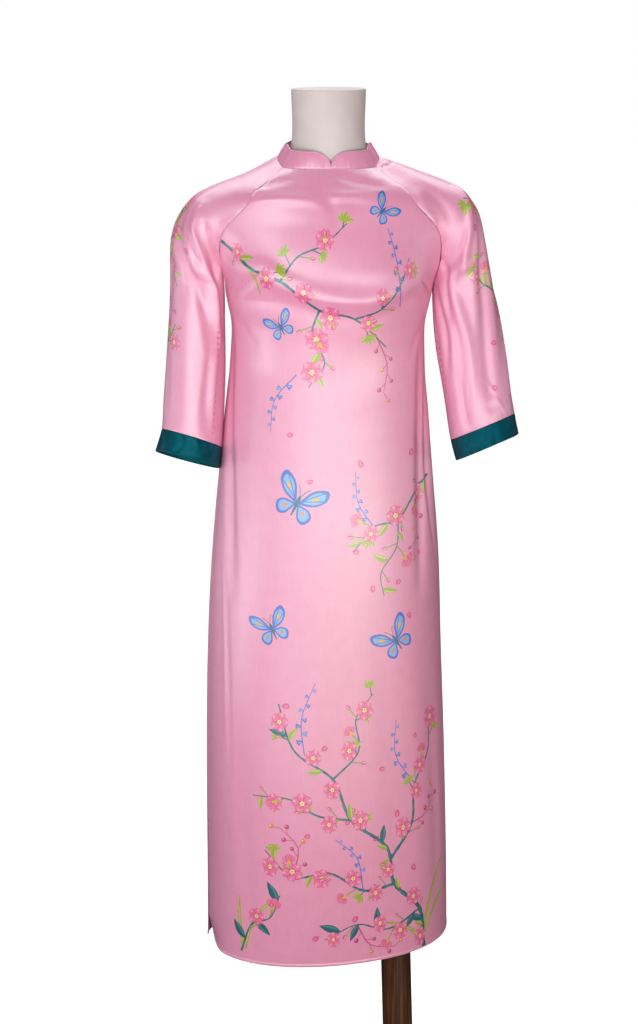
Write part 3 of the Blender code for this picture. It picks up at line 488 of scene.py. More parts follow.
def cloth_mesh(name, outer, inner, rim, uv, facing, inks=None):
    """A closed shell: outer and inner layer, each (points, normals, faces), joined along their matching rims.

    The shading normals are those of the worked-out surface, not of the triangles.
    """
    shift = len(outer[0])
    other = rim[1] + shift
    walls = np.stack([rim[0][:, 1], rim[0][:, 0], other[:, 0], other[:, 1]], 1)
    groups = [group[:, ::facing] for group in (outer[2], inner[2][:, ::-1] + shift, walls)]
    mesh = bpy.data.meshes.new(name)
    mesh.from_pydata(np.concatenate([outer[0], inner[0]]).tolist(), [], [f for g in groups for f in g.tolist()])
    corners = np.concatenate([g.reshape(-1) for g in groups])
    mesh.uv_layers.new(name="cloth").data.foreach_set("uv", uv[corners].astype(np.float32).ravel())
    colours = np.zeros((len(corners), 4), np.float32)
    if inks is not None:
        colours[: len(inks) * 3] = np.repeat(inks, 3, axis=0)
    mesh.color_attributes.new("print", "FLOAT_COLOR", "CORNER").data.foreach_set("color", colours.ravel())
    mesh.shade_smooth()
    mesh.normals_split_custom_set_from_vertices(np.concatenate([outer[1], -inner[1]]).tolist())
    return mesh


NUDGE = 0.0003  # reach over which the slope of the relief is measured
FILL_STEP, LINING_STEP = 0.0052, 0.0060  # between points in the field of the outer and the inner layer
RIM_ROWS = (0.0005, 0.0011, 0.0019, 0.0028, 0.0036, 0.0042, 0.0050, 0.0064)
LINING_EDGE = 0.005  # the inner layer's field starts this far from its rim
CLOTH_THICK, SEAM_THICK = 0.0006, 0.0011  # the shell's thickness in the field and along a seam
SEAM_THICK_WIDE = 0.0015


def laid(cut, places, relief, drop=0.0):
    """Points and normals of the cloth: the form moved out along its normal by the relief, less drop."""
    u, v = places.T
    point, normal, across = cut.read(u, v)
    slope_u = (relief(u + NUDGE, v) - relief(u - NUDGE, v)) / (2 * NUDGE)
    slope_v = (relief(u, v + NUDGE) - relief(u, v - NUDGE)) / (2 * NUDGE)
    leant = normal - slope_u[:, None] * across - slope_v[:, None] * (cut.facing * np.cross(normal, across))
    return point + (relief(u, v) - drop)[:, None] * normal, unit(leant)


def leftward(along):
    """Unit vectors to the left of flat directions."""
    return unit(np.stack([-along[:, 1], along[:, 0]], 1))


def hump(x, wide):
    """A bell curve of height 1."""
    return np.exp(-((x / wide) ** 2))


def cut_cloth(name, cut, outline, margin, seam_margin, relief, shapes):
    """Cuts a piece along its outline, with the edges of its printed shapes in the mesh, and lays it on its form.

    margin and seam_margin give the distance of any place from the piece's edge and from its seams.
    """
    inward = leftward(np.roll(outline, -1, axis=0) - np.roll(outline, 1, axis=0))

    def beside(row, start, step):
        """Places a row's distance in from the outline, less those that are nearer to another edge."""
        place = (outline + row * inward)[start::step]
        return place[np.abs(margin(*place.T) - row) < 0.25 * row]

    def field(step, clear):
        """Places of a honeycomb that lie clear of the edges."""
        place = honeycomb(outline.min(0), outline.max(0), step)
        place = place[inside(place, outline)]
        return place[margin(*place.T) > clear]

    lines = [outline] + [np.asarray(shape) for shape, _ in shapes]
    starts = np.cumsum([0] + [len(line) for line in lines])
    after = np.arange(1, starts[-1] + 1)
    after[starts[1:] - 1] = starts[:-1]
    rows = [beside(row, k % 2, 1 if k < 4 else 2) for k, row in enumerate(RIM_ROWS)]
    rows.append(field(FILL_STEP, RIM_ROWS[-1] + 0.3 * FILL_STEP))
    places, faces = triangles(np.concatenate(lines + rows), np.stack([np.arange(starts[-1]), after], 1), outline)
    inks = np.zeros((len(faces), 4), np.float32)
    centre = places[faces].mean(1)
    order = np.argsort(centre[:, 1])
    rank = centre[order, 1]
    for shape, ink in shapes:
        (left, bottom), (right, top) = np.min(shape, 0), np.max(shape, 0)
        near = order[np.searchsorted(rank, bottom) : np.searchsorted(rank, top)]
        near = near[(centre[near, 0] > left) & (centre[near, 0] < right)]
        if len(near):
            inks[near[inside(centre[near], shape)]] = linear(INKS[ink])
    rim = rim_edges(faces)
    rim_points, inner_rim = np.unique(rim, return_inverse=True)
    inner_rim = inner_rim.reshape(-1, 2)
    ledge = [beside(row, 0, 1 + k) for k, row in enumerate(RIM_ROWS[1:4:2])]
    inner_in = np.concatenate([places[rim_points], field(LINING_STEP, LINING_EDGE), *ledge])
    inner_places, inner_faces = triangles(inner_in, inner_rim, outline)
    # The rim's numbers hold in the inner layer only while its triangles keep the points in order.
    assert len(inner_places) == len(inner_in) and np.allclose(inner_places, inner_in, atol=2e-6), name
    thick = CLOTH_THICK + (SEAM_THICK - CLOTH_THICK) * hump(seam_margin(*inner_places.T), SEAM_THICK_WIDE)
    return cloth_mesh(name, (*laid(cut, places, relief), faces), (*laid(cut, inner_places, relief, thick), inner_faces),
                      (rim, inner_rim), np.concatenate([places, inner_places]), cut.facing, inks)


def line(points, steps):
    """A smooth line through a few points: on each span, a cubic whose slopes are half the step between neighbours."""
    p = np.asarray(points, float)
    p = np.concatenate([[2 * p[0] - p[1]], p, [2 * p[-1] - p[-2]]])
    t = np.linspace(0, len(points) - 1, steps)
    i = np.minimum(t.astype(int), len(points) - 2)
    u = (t - i)[:, None]
    a, b, c, d = p[i], p[i + 1], p[i + 2], p[i + 3]
    return b + u / 2 * ((c - a) + u * ((2 * a - 5 * b + 4 * c - d) + u * (3 * b - a - 3 * c + d)))


def places_of(numbers):
    """Places on a piece from a row of u, v, u, v in millimetres."""
    return np.reshape(numbers, (-1, 2)) / 1000


def creased(creases, u, v):
    """Soft troughs (depth under 0) and ridges, from rows of depth, width and the places of a smooth line.

    Across a line the height is a bell curve with low shoulders of the other sign. It fades towards
    both ends as the root of a sine.
    """
    height = np.zeros(u.shape)
    for depth, width, *numbers in creases:
        points, width = places_of(numbers), width / 1000
        path = line(points, 6 * (len(points) - 1) + 1)
        step = np.diff(path, axis=0)
        size = np.linalg.norm(step, axis=1)
        (left, bottom), (right, top) = path.min(0) - 3 * width, path.max(0) + 3 * width
        near = np.flatnonzero((u > left) & (u < right) & (v > bottom) & (v < top))
        if not len(near):
            continue
        from_start = np.stack([u[near], v[near]], 1)[:, None] - path[:-1]
        run = np.clip((from_start * step).sum(-1) / size**2, 0, 1)
        distance = np.linalg.norm(from_start - run[..., None] * step, axis=-1)
        best = distance.argmin(1)
        rows = np.arange(len(near))
        share = (np.append(0, size.cumsum())[best] + run[rows, best] * size[best]) / size.sum()
        q = (distance[rows, best] / width) ** 2
        fade = np.sqrt(np.sin(np.pi * np.clip(share, 0.02, 0.98)))
        height[near] += depth / 1000 * np.exp(-q) * (1 - 0.7 * q) * fade
    return height


def uneven(x, length):
    """A wave of about unit height whose length and height wander: a sine, with slower sines in its phase and size."""
    a = 2 * np.pi * x / length
    return np.sin(a + 1.7 * np.sin(a / 5.3 + 0.4)) * (0.65 + 0.35 * np.sin(a / 3.1 + 1.3))


SEAM_ROLL, SEAM_ROLL_WIDE = 0.0004, 0.0011  # how far a sewn edge turns in, and over what width
PUCKER, PUCKER_LONG, PUCKER_WIDE = 0.00022, 0.0085, 0.007
HEM_WIDE, HEM_RAISED = 0.0040, 0.00045  # the turned edge, up to its stitches
FOLD_ROLL, STITCH_WIDE = 0.00035, 0.0006  # how far its fold turns in; half width of stitches and fold
STITCH_DEEP, STITCH_LONG = 0.00022, 0.0065


def sewn(distance, along):
    """A sewn edge rolls in as a bell curve, and puckers beside it in an uneven wave that fades with distance."""
    distance = np.maximum(distance, 0)
    roll = -SEAM_ROLL * hump(distance, SEAM_ROLL_WIDE) * (1 + 0.3 * uneven(along, 0.006))
    return roll + PUCKER * uneven(along, PUCKER_LONG) * np.exp(-distance / PUCKER_WIDE)


def hemmed(distance, along):
    """A hem is raised up to its stitches, with a groove along them and a rounded outer edge."""
    raised = HEM_RAISED * eased((HEM_WIDE + STITCH_WIDE - distance) / (2 * STITCH_WIDE))
    groove = STITCH_DEEP * hump(distance - HEM_WIDE - 0.0004, STITCH_WIDE) * (1 + 0.5 * uneven(along, STITCH_LONG))
    return raised - groove - FOLD_ROLL * hump(np.maximum(distance, 0), STITCH_WIDE)


# The printing inks.
INKS = {
    "bark": "#1d6570", "bark_light": "#3f9494", "leaf": "#a9b63c", "leaf_light": "#d0d264",
    "leaf_dark": "#7f9a3a", "deep_leaf": "#22636c", "deep_leaf_light": "#4b8f8f", "petal_edge": "#e24583",
    "petal": "#f47dab", "petal_light": "#fab3cd", "heart": "#fbe7a6", "gold": "#f2b431", "orange": "#ee8a35",
    "sky": "#8ab4e6", "cobalt": "#4a66c8", "violet": "#8d7fdc", "magenta": "#cf2f72", "cream": "#fdf1d6",
}


def ribbon(path, wide):
    """The outline of a stroke: the path moved by half its width to one side, and back on the other."""
    side = leftward(np.gradient(path, axis=0)) * np.broadcast_to(np.asarray(wide, float), len(path))[:, None] / 2
    return np.concatenate([path + side, (path - side)[::-1]])


def turned(shape, place, angle, size=1.0, lean=1.0):
    """A shape squeezed by lean across, scaled, turned by an angle from straight up and moved to its place."""
    c, s = np.cos(angle), np.sin(angle)
    return np.asarray(shape, float) * (lean, 1) * size @ np.array([[c, -s], [s, c]]) + place


def put(found, place, angle, size):
    """Inked shapes about a motif's own origin, scaled, turned and moved to its place."""
    return [(turned(shape, place, angle, size), ink) for shape, ink in found]


def towards(angle):
    """A step of length 1 at an angle from straight up."""
    return np.stack([np.sin(angle), np.cos(angle)], -1)


def ring(corners, start=0.0):
    """Corners of an even polygon of radius 1."""
    return towards(np.linspace(0, 2 * np.pi, corners, endpoint=False) + start)


def petal(wide, dip):
    """A round petal of length 1 on a narrow base: an arc of an oval, pulled in by dip at its tip."""
    a = np.linspace(-2.25, 2.25, 9)
    arc = np.stack([wide * np.sin(a), 0.56 + 0.44 * np.cos(a) * (1 - dip * hump(a, 0.35))], 1)
    return np.concatenate([arc, [[0, 0]]])


def blossom(place, size, angle, lean, rng):
    """Five petals round a heart. Each has a deep edge, a lighter body, three veins, and stamens lie over them."""
    found = []
    for k in range(5):
        turn = angle + k * 2 * np.pi / 5 + rng.uniform(-0.08, 0.08)
        veins = [([(-0.045, 0.12), (0.045, 0.12), tip], "petal_edge") for tip in ((-0.21, 0.6), (0, 0.72), (0.21, 0.6))]
        found += put([(petal(0.45, 0.16), "petal_edge"), (petal(0.45, 0.16) * 0.83 + (0, 0.12), "petal"),
                      (petal(0.20, 0)[::2] * 0.5 + (0, 0.46), "petal_light"), *veins], 0, turn, rng.uniform(0.92, 1.05))
    found.append((np.array([0.30, 0.17] * 5)[:, None] * ring(10, angle), "heart"))
    for k in range(6):
        tip = towards(angle + (k + rng.uniform(0, 0.6)) * 2 * np.pi / 6) * rng.uniform(0.36, 0.48)
        found.append((tip + 0.055 * ring(4), "gold"))
    found.append((0.085 * ring(6), "orange"))
    tilt = rng.uniform(0, np.pi)
    return put([(turned(shape, 0, tilt, 1, lean), ink) for shape, ink in found], place, -tilt, size / 2)


def side_blossom(place, size, angle):
    """A half-open flower from the side: three fanned petals over a gold throat and a green cup."""
    found = []
    for spread, grow in ((-0.75, 0.9), (0.75, 0.9), (0, 1.0)):
        veins = [(ribbon(np.array([[0, 0.2], [fan, 0.7]]), (0.07, 0.02)), "petal_edge") for fan in (-0.12, 0.12)]
        found += put([(petal(0.36, 0.16), "petal_edge"), (petal(0.36, 0.16) * 0.82 + (0, 0.14), "petal"), *veins],
                     0, spread, grow)
    found.append(([(-0.12, 0.30), (0.12, 0.30), (0.16, 0), (0.09, -0.42), (-0.09, -0.42), (-0.16, 0)], "gold"))
    found.append(([(-0.13, -0.28), (0, -0.16), (0.13, -0.28), (0.10, -0.52), (0, -0.62), (-0.10, -0.52)], "leaf"))
    return put(found, place, angle, size / 2)


LEAF_INKS = "leaf", "leaf_light", "leaf_dark"


def leaf(place, long, wide, angle, bend, inks):
    """A pointed leaf, half of it lighter, with a vein between the halves.

    Its middle line bends sideways as the square of its length, and its half width is a sine.
    """
    t = np.linspace(0, 1, 7)
    middle = np.stack([bend * t**2, t], 1)
    half = wide / 2 * np.sin(np.pi * t**0.85)[:, None] * (1, 0)
    whole = np.concatenate([middle + half, (middle - half)[1:-1][::-1]])
    light = np.concatenate([middle[1:-1] + 0.12 * half[1:-1], (middle + 0.72 * half)[1:-1][::-1]])
    vein = ribbon(middle[:-1], np.linspace(0.05, 0.02, 6) * wide * 2.2)
    return put(zip((whole, light, vein), inks), place, angle, long)


def bud(place, size, angle):
    """A closed bud: a pink drop in a green cup."""
    t = np.linspace(0, np.pi, 7)
    drop = np.stack([0.34 * np.sin(t) ** 0.8, 0.5 - 0.62 * np.cos(t)], 1)
    drop = np.concatenate([drop, (drop * (-1, 1))[1:-1][::-1]])
    cup = [(0, -0.28), (0.24, -0.02), (0.30, 0.42), (0.12, 0.18), (0, 0.50),
           (-0.12, 0.18), (-0.30, 0.42), (-0.24, -0.02)]
    found = (drop, "petal_edge"), (drop * (0.35, 0.55) + (-0.08, 0.36), "petal_light"), (cup, "leaf")
    return put(found, place, angle, size)


def headings(path):
    """The angle of a path from straight up, at each of its points."""
    return np.arctan2(*np.gradient(path, axis=0).T)


def bell_spike(points, size, rng):
    """Blue bells that hang in turn from both sides of a thin stem and shrink towards its tip."""
    path = line(points, 11)
    found = [(ribbon(path, np.linspace(0.0016, 0.0008, len(path))), "cobalt")]
    bell = np.array([(-0.12, 0), (-0.34, 0.50), (-0.56, 1.0), (-0.2, 0.86), (0, 1.12)])
    bell = np.concatenate([bell, (bell * (-1, 1))[-2::-1]])
    inner = [(-0.12, 0.2), (-0.22, 0.70), (0.10, 0.72), (0.02, 0.2)]
    for k in range(2, len(path) - 1):
        angle = headings(path)[k] + (1 if k % 2 else -1) * rng.uniform(1.3, 1.9)
        bells = (bell, "cobalt" if k % 3 else "violet"), (inner, "sky")
        found += put(bells, path[k], angle, size * (1.1 - 0.6 * k / len(path)))
    return found


def berries(points, size, rng):
    """A magenta sprig whose short stalks end in round berries."""
    path = line(points, 7)
    found = [(ribbon(path, np.linspace(0.0020, 0.0009, len(path))), "magenta")]
    disc = ring(9)[:, ::-1]
    for k in range(1, len(path)):
        heading = headings(path)[k] + (1 if k % 2 else -1) * rng.uniform(0.5, 1.0)
        tip = path[k] + size * rng.uniform(1.3, 2.0) * towards(heading)
        grow = size * rng.uniform(0.38, 0.52)
        skin, shine = ("magenta", "petal_light") if k % 3 else ("orange", "cream")
        found += [(ribbon(np.stack([path[k], tip]), 0.0009), "magenta"), (tip + grow * disc, skin),
                  (tip + grow * (0.3 * disc + (-0.3, 0.3)), shine)]
    return found


def butterfly(place, size, angle):
    """Two pairs of wings about a slim body: cobalt edges, sky-blue panes and gold spots."""
    fore = line([(0.03, 0.04), (0.30, 0.60), (0.72, 0.82), (0.80, 0.50), (0.52, 0.16), (0.06, 0)], 14)
    hind = line([(0.04, 0), (0.42, -0.02), (0.60, -0.24), (0.44, -0.52), (0.20, -0.44), (0.04, -0.06)], 12)
    found = []
    for side in (1, -1):
        for wing, centre, spot in ((hind, (0.30, -0.20), "orange"), (fore, (0.45, 0.38), "gold")):
            for share, ink in ((1, "cobalt"), (0.72, "sky"), (0.26, spot)):
                found.append((((wing - centre) * share + centre) * (side, 1), ink))
        for stroke, wide, ink in (([(0.10, 0.12), (0.62, 0.70)], 0.028, "cobalt"),
                                  ([(0.10, 0.12), (0.70, 0.46)], 0.028, "cobalt"),
                                  ([(0.01, 0.24), (0.10, 0.46), (0.20, 0.60)], 0.022, "bark")):
            found.append((ribbon(np.array(stroke) * (side, 1), wide), ink))
    body = (0, 0.3), (0.055, 0.2), (0.05, -0.05), (0.02, -0.42), (-0.02, -0.42), (-0.05, -0.05), (-0.055, 0.2)
    return put(found + [(body, "bark")], place, angle, size)


def loose_petal(place, rng):
    """A fallen petal in two shades, its size and its angle by chance."""
    found = (petal(0.34, 0.2), "petal_edge"), (petal(0.30, 0.1) * 0.62 + (0.03, 0.24), "petal")
    size = rng.uniform(0.009, 0.013)
    return put(found, place, rng.uniform(0, 6), size)


def grass(place, long, angle, bend, wide):
    """A long thin blade that bends over."""
    t = np.linspace(0, 1, 10)
    middle = np.stack([bend * t**2.2, t * (1 - 0.25 * abs(bend) * t)], 1)
    blade = ribbon(middle, wide / long * np.sin(np.pi * (0.12 + 0.88 * t)) ** 0.7 + 0.004)
    return put([(blade, "leaf"), (ribbon(middle[1:8], 0.3 * wide / long), "leaf_light")], place, angle, long)


# What sits on a twig's stalks: the range of a stalk's reach, its thickness and ink, where it
# bends, how far the bend is set off, and how far short of the tip it ends.
STALKS = {
    "flower": ((0.006, 0.016), 0.0018, "bark", 0.5, 0, 0),
    "half": ((0.016, 0.024), 0.0015, "leaf_dark", 0.5, 0.001, 0.006),
    "bud": ((0.010, 0.018), 0.0014, "leaf_dark", 0.6, 0, 0),
    "tuft": ((0.008, 0.018), 0.0015, "bark", 0.5, 0, 0),
}
# Leaves on the twig itself: the range of their length, the most that they bend, and their inks.
BLADES = {
    "leaf": ((0.018, 0.028), 0.35, LEAF_INKS),
    "deep": ((0.026, 0.036), 0.3, ("deep_leaf", "deep_leaf_light", "bark")),
}


def spray(path, wide, dress, rng):
    """A twig, and what it carries on both sides in turn: dress gives how many of each kind.

    The twig tapers along its path, and knots swell it.
    """
    count = len(path)
    number = np.arange(count)
    wide = np.linspace(*wide, count) * (1 + 0.22 * np.sin(number * 2.1 + rng.uniform(0, 6)) * (number % 3 > 0))
    found = [(ribbon(path, wide), "bark")]
    light = path + leftward(np.gradient(path, axis=0)) * 0.14 * wide[:, None]
    for start in range(1, count - 3, 5):
        found.append((ribbon(light[start : start + 4], 0.30 * wide[start : start + 4]), "bark_light"))
    leaves, over = [], []
    for kind, many in dress.items():
        for k in range(many):
            at = (k + rng.uniform(0.25, 0.75)) / many + (0.1 if kind == "tuft" else 0)
            i = int(min(1, at) * (count - 1))
            hand = 1 if (k + len(kind)) % 2 else -1
            angle = headings(path)[i] + hand * rng.uniform(0.5, 1.15)
            if kind in BLADES:
                length, most, inks = BLADES[kind]
                leaves += leaf(path[i], rng.uniform(*length), 0.36, angle, hand * rng.uniform(-0.1, most), inks)
                continue
            reach, thick, ink, middle, off, short = STALKS[kind]
            out = towards(angle)
            reach = rng.uniform(*reach)
            tip = path[i] + out * reach
            stalk = line([path[i], path[i] + out * reach * middle + off, tip - out * short], 4)
            found.append((ribbon(stalk, thick), ink))
            if kind == "flower":
                over += blossom(tip, rng.uniform(0.027, 0.036), rng.uniform(0, 6), rng.uniform(0.72, 1.0), rng)
            elif kind == "half":
                over += side_blossom(tip, rng.uniform(0.026, 0.032), angle)
            elif kind == "bud":
                over += bud(tip, rng.uniform(0.007, 0.009), angle)
            else:
                for fan in (-1.0, -0.5, 0.0, 0.5, 1.0):
                    leaves += leaf(tip, rng.uniform(0.010, 0.015), 0.5, angle + fan, 0.1 * fan, LEAF_INKS)
    return found, leaves + over


def dressed(rows, seed):
    """Bare twigs first, then what they carry. A row gives its load, its thickness at both ends and its places."""
    rng = np.random.default_rng(seed)
    under, over = [], []
    for dress, thick, thin, *numbers in rows:
        words, points = dress.split(), places_of(numbers)
        path = line(points, 8 + int(180 * np.linalg.norm(np.diff(points, axis=0), axis=1).sum()))
        dress = dict(zip(words[1::2], map(int, words[::2])))
        twig, carried = spray(path, (thick / 1000, thin / 1000), dress, rng)
        under, over = under + twig, over + carried
    return under + over


def butterflies(rows):
    """Butterflies from rows of u, v, size and angle."""
    return sum((butterfly((u / 1000, v / 1000), size / 1000, angle) for u, v, size, angle in rows), [])


def sprig(kind, row, rng):
    """A spike of bells or a sprig of berries from its size and its places."""
    return kind(places_of(row[1:]), row[0] / 1000, rng)


def scattered(seed, count, across, up):
    """Loose petals at random places."""
    rng = np.random.default_rng(seed)
    return sum((loose_petal((rng.uniform(*across), rng.uniform(*up)), rng) for _ in range(count)), [])


PANEL_ROWS, PANEL_COLUMNS_ACROSS = 390, 241  # the grid of a panel's form
HEM_POINTS, SIDE_POINTS, NECK_POINTS = 125, 400, 50  # along its outline, about 3 mm apart
SLIT_BLEND = 0.008  # height over which a slit's hem becomes a side seam


def panel_cut(table, way, top):
    """The pattern piece of a panel: level rows of its form, each with its half length as the place of its edges."""
    z = np.linspace(PANEL_LOW, top, PANEL_ROWS)
    points, s = panel(table, way, np.linspace(-1, 1, PANEL_COLUMNS_ACROSS)[None], z[:, None])
    cut = Cut(points, z, s[:, 0], s[:, -1], -way)
    cut.edge = s[:, -1] - SEAM_GAP / 2 - SLIT_PART * np.clip((SLIT_TOP - z) / SLIT_FADE, 0, 1)
    return cut


def panel_piece(name, cut, top, creases, shapes):
    """A panel's mesh: its creases, and its edges sewn above the slits and at the neck and hemmed below.

    Its outline runs along the hem, up the right edge, back along the neck and down the left edge.
    """
    share = np.linspace(-1, 1, HEM_POINTS)
    hem = hem_height(share)
    low = stack(share * np.interp(hem, cut.v, cut.edge), hem)
    z = np.linspace(hem[0], top, SIDE_POINTS)[1:]
    right = stack(np.interp(z, cut.v, cut.edge), z)
    high = stack(np.linspace(1, -1, NECK_POINTS)[1:-1] * right[-1, 0], top)
    outline = np.concatenate([low, right, high, (right * (-1, 1))[::-1][:-1]])

    def margins(u, v):
        """Distances from the side edges, the hem and the neck seam."""
        edge = np.interp(v, cut.v, cut.edge)
        side = (edge - np.abs(u)) * np.interp(v, cut.v, cut.slope[1])
        return side, v - hem_height(np.clip(u / edge, -1, 1)), top - v

    def seam_margin(u, v):
        side, _, neck = margins(u, v)
        return np.minimum(side + np.clip((SLIT_TOP - v) / 0.01, 0, 1), neck)

    def relief(u, v):
        side, hem, neck = margins(u, v)
        open_here = np.clip((SLIT_TOP - v) / SLIT_BLEND + 0.5, 0, 1)
        along = v + 0.31 * (u > 0)  # so that the two edges don't pucker alike
        hems = hemmed(hem, u)
        hems = np.where(open_here > 0, np.maximum(hemmed(side, along), hems), hems)
        return creased(creases, u, v) + (1 - open_here) * sewn(side, along) + sewn(neck, u) + open_here * hems

    return cut_cloth(name, cut, outline, lambda u, v: np.minimum.reduce(margins(u, v)), seam_margin, relief, shapes)


FRONT_TWIGS = (
    # chest: from the left armhole across to the right
    ("5 flower 5 leaf 4 bud 2 tuft", 5.2, 2.2, -168, 1352, -120, 1318, -70, 1300, -20, 1262, 30, 1248, 78, 1205),
    ("1 flower 3 tuft 2 bud", 3.2, 1.4, -75, 1301, -50, 1335, -12, 1352, 20, 1380),
    ("2 flower 1 half 2 bud 3 leaf", 3, 1.4, -20, 1262, -30, 1225, -12, 1185, -35, 1150),
    ("2 flower 2 tuft 2 bud", 2.8, 1.3, 30, 1248, 70, 1262, 100, 1300, 112, 1330),
    # middle, hanging from the right side
    ("3 flower 2 half 3 bud 4 leaf 1 tuft", 4.2, 1.8, 163, 1010, 125, 990, 92, 955, 52, 948, 22, 915),
    ("1 half 2 bud 3 leaf", 2.6, 1.3, 92, 955, 88, 915, 62, 880, 66, 845),
    # lower: grows from the right hem and leans over to the left
    ("7 flower 6 leaf 4 bud 3 tuft 3 deep", 7.5, 2.4, 128, 285, 118, 350, 72, 400, 60, 460,
     5, 510, -20, 575, -75, 620, -95, 690),
    ("4 flower 1 half 3 bud 4 leaf 2 tuft", 4.6, 1.6, 66, 440, 105, 490, 112, 550, 146, 600, 142, 660),
    ("5 flower 2 half 3 bud 4 leaf 2 tuft", 4.6, 1.6, 72, 400, 20, 398, -30, 430, -85, 425, -125, 465),
    ("3 flower 1 half 3 bud 3 leaf", 3.4, 1.4, 5, 510, -45, 520, -85, 545, -140, 548),
    ("3 flower 1 half 4 deep 2 bud", 3.4, 1.4, 118, 350, 60, 330, 10, 345, -40, 325),
    ("2 flower 3 tuft 2 bud 1 half", 3, 1.3, -20, 575, 20, 615, 18, 665, 45, 700),
    ("1 flower 1 half 3 deep 2 bud", 3, 1.4, -168, 300, -150, 345, -120, 360, -105, 395),
)
FRONT_BELLS = (
    (8.5, 100, 1262, 92, 1325, 78, 1372),
    (8.5, -52, 1168, -85, 1130, -92, 1085),
    (8, 52, 948, 30, 985, 28, 1030),
    (9, -60, 612, -62, 668, -40, 722),
    (9, 112, 550, 80, 600, 82, 655),
    (8, 20, 398, 12, 450, -20, 482),
)
FRONT_BERRIES = (
    (7.5, 60, 1226, 80, 1180, 74, 1140),
    (7.5, 125, 990, 132, 945, 118, 905),
    (8.5, -85, 425, -75, 470, -100, 500),
    (8.5, 105, 490, 138, 500, 156, 530),
    (8, 10, 345, 30, 310, 70, 300),
)
# place, length, angle, bend and width of the grass blades
FRONT_GRASS = (
    (128, 300, 120, 0.35, 0.5, 5.5),
    (126, 300, 150, 0.12, 0.35, 5.5),
    (120, 295, 90, -0.5, -0.5, 5),
    (-160, 305, 110, 0.1, 0.45, 5),
    (-165, 305, 85, -0.15, 0.1, 5),
    (163, 1010, 80, -2.2, -0.4, 4.5),
    (-150, 1338, 75, 2.0, 0.5, 4.5),
)
FRONT_BUTTERFLIES = (
    (-58, 985, 46, 0.5), (85, 775, 40, -0.6), (70, 1395, 26, 0.8), (-100, 800, 36, -0.4), (-75, 1235, 28, -0.5),
)
rng = np.random.default_rng(3)
shapes = sum((sprig(bell_spike, row, rng) for row in FRONT_BELLS), [])
shapes += sum((sprig(berries, row, rng) for row in FRONT_BERRIES), [])
for u, v, long, angle, bend, wide in FRONT_GRASS:
    shapes += grass((u / 1000, v / 1000), long / 1000, angle, bend, wide / 1000)
shapes += butterflies(FRONT_BUTTERFLIES)
for _ in range(26):
    v = rng.uniform(0.33, 1.40)
    shapes += loose_petal((rng.uniform(-0.15, 0.15) * (1 if v < 1.1 else 0.75), v), rng)

# Creases of the front: depth, width and the places that they run through.
FRONT_CREASES = (
    # bust darts, and the drag of the cloth between them
    (-2.4, 7.5, -178, 1268, -140, 1288, -98, 1315),
    (-0.9, 1.8, -184, 1266, -140, 1288, -100, 1314),
    (-2.2, 7, 188, 1268, 162, 1285, 136, 1301),
    (-0.9, 1.8, 192, 1266, 162, 1285, 138, 1300),
    (6, 19, -168, 1316, -112, 1318, -62, 1294, 0, 1278, 66, 1276, 134, 1298),
    (-0.9, 6, -104, 1318, -70, 1303, -30, 1292),
    (-0.8, 7, 142, 1306, 112, 1294, 80, 1290),
    # drape below the collar
    (2.4, 9.5, -120, 1408, -75, 1413, -34, 1412, -16, 1406),
    (2, 9, -10, 1416, 25, 1416, 60, 1413),
    (-1.3, 6.5, -108, 1428, -76, 1434, -50, 1440),
    (-1.5, 6.5, 4, 1444, 36, 1435, 82, 1426),
    (-1, 10, -20, 1432, 0, 1402, 6, 1372),
    (-1, 8, 128, 1372, 98, 1350, 78, 1322),
    # along the sides, from the slits' tops upwards and downwards
    (-4.8, 12, -174, 1196, -174, 1120, -168, 1000, -164, 850),
    (-5, 13.5, 152, 1190, 146, 1110, 139, 1000, 132, 840),
    (-3.6, 6.8, 174, 1170, 162, 1080, 158, 1005, 165, 945, 178, 890),
    (2.2, 8, 186, 1130, 177, 1060, 175, 1000, 184, 940),
    (-1.3, 10, -170, 1245, -135, 1222, -110, 1192),
    (-1.2, 9.5, 176, 1240, 140, 1212, 118, 1176),
    (0.8, 5, -186, 900, -184, 760, -186, 620),
    (-0.8, 5, -176, 860, -175, 700, -178, 560),
    # waist and long soft flutes of the skirt
    (-0.5, 18, -120, 1172, -45, 1160, 40, 1166),
    (0.4, 22, -60, 1120, 10, 1100, 95, 1112),
    (-0.9, 30, -70, 960, -82, 760, -88, 480, -100, 300),
    (0.7, 26, -14, 900, -20, 700, -10, 420, -18, 290),
    (-1, 24, 52, 860, 66, 640, 72, 420, 60, 290),
    (1, 20, 112, 780, 118, 560, 122, 330),
    (-1.5, 15, 150, 700, 158, 500, 164, 310),
    (-1.4, 15, -150, 640, -156, 470, -150, 300),
    # faint creases from folding
    (0.1, 2.2, -80, 931.6, 60, 931.2),
    (0.1, 2.2, 0, 1080, 1, 820),
)
front_mesh = panel_piece("front_panel_satin", panel_cut(front, -1, NECK_TOP), NECK_TOP, FRONT_CREASES,
                         shapes + dressed(FRONT_TWIGS, 11))

# Printed polyester satin: long floats over a fine warp, so it shines in soft broad bands across
# the threads. Warp threads are about 0.1 mm wide. Streaks of 1 mm stand for them here, so that
# they show. The inks lie in the cloth and share its shine, a little uneven as dye is.
STREAK_WIDE, STREAK_LONG, DYE_BLOTCH = 0.0010, 0.050, 0.018


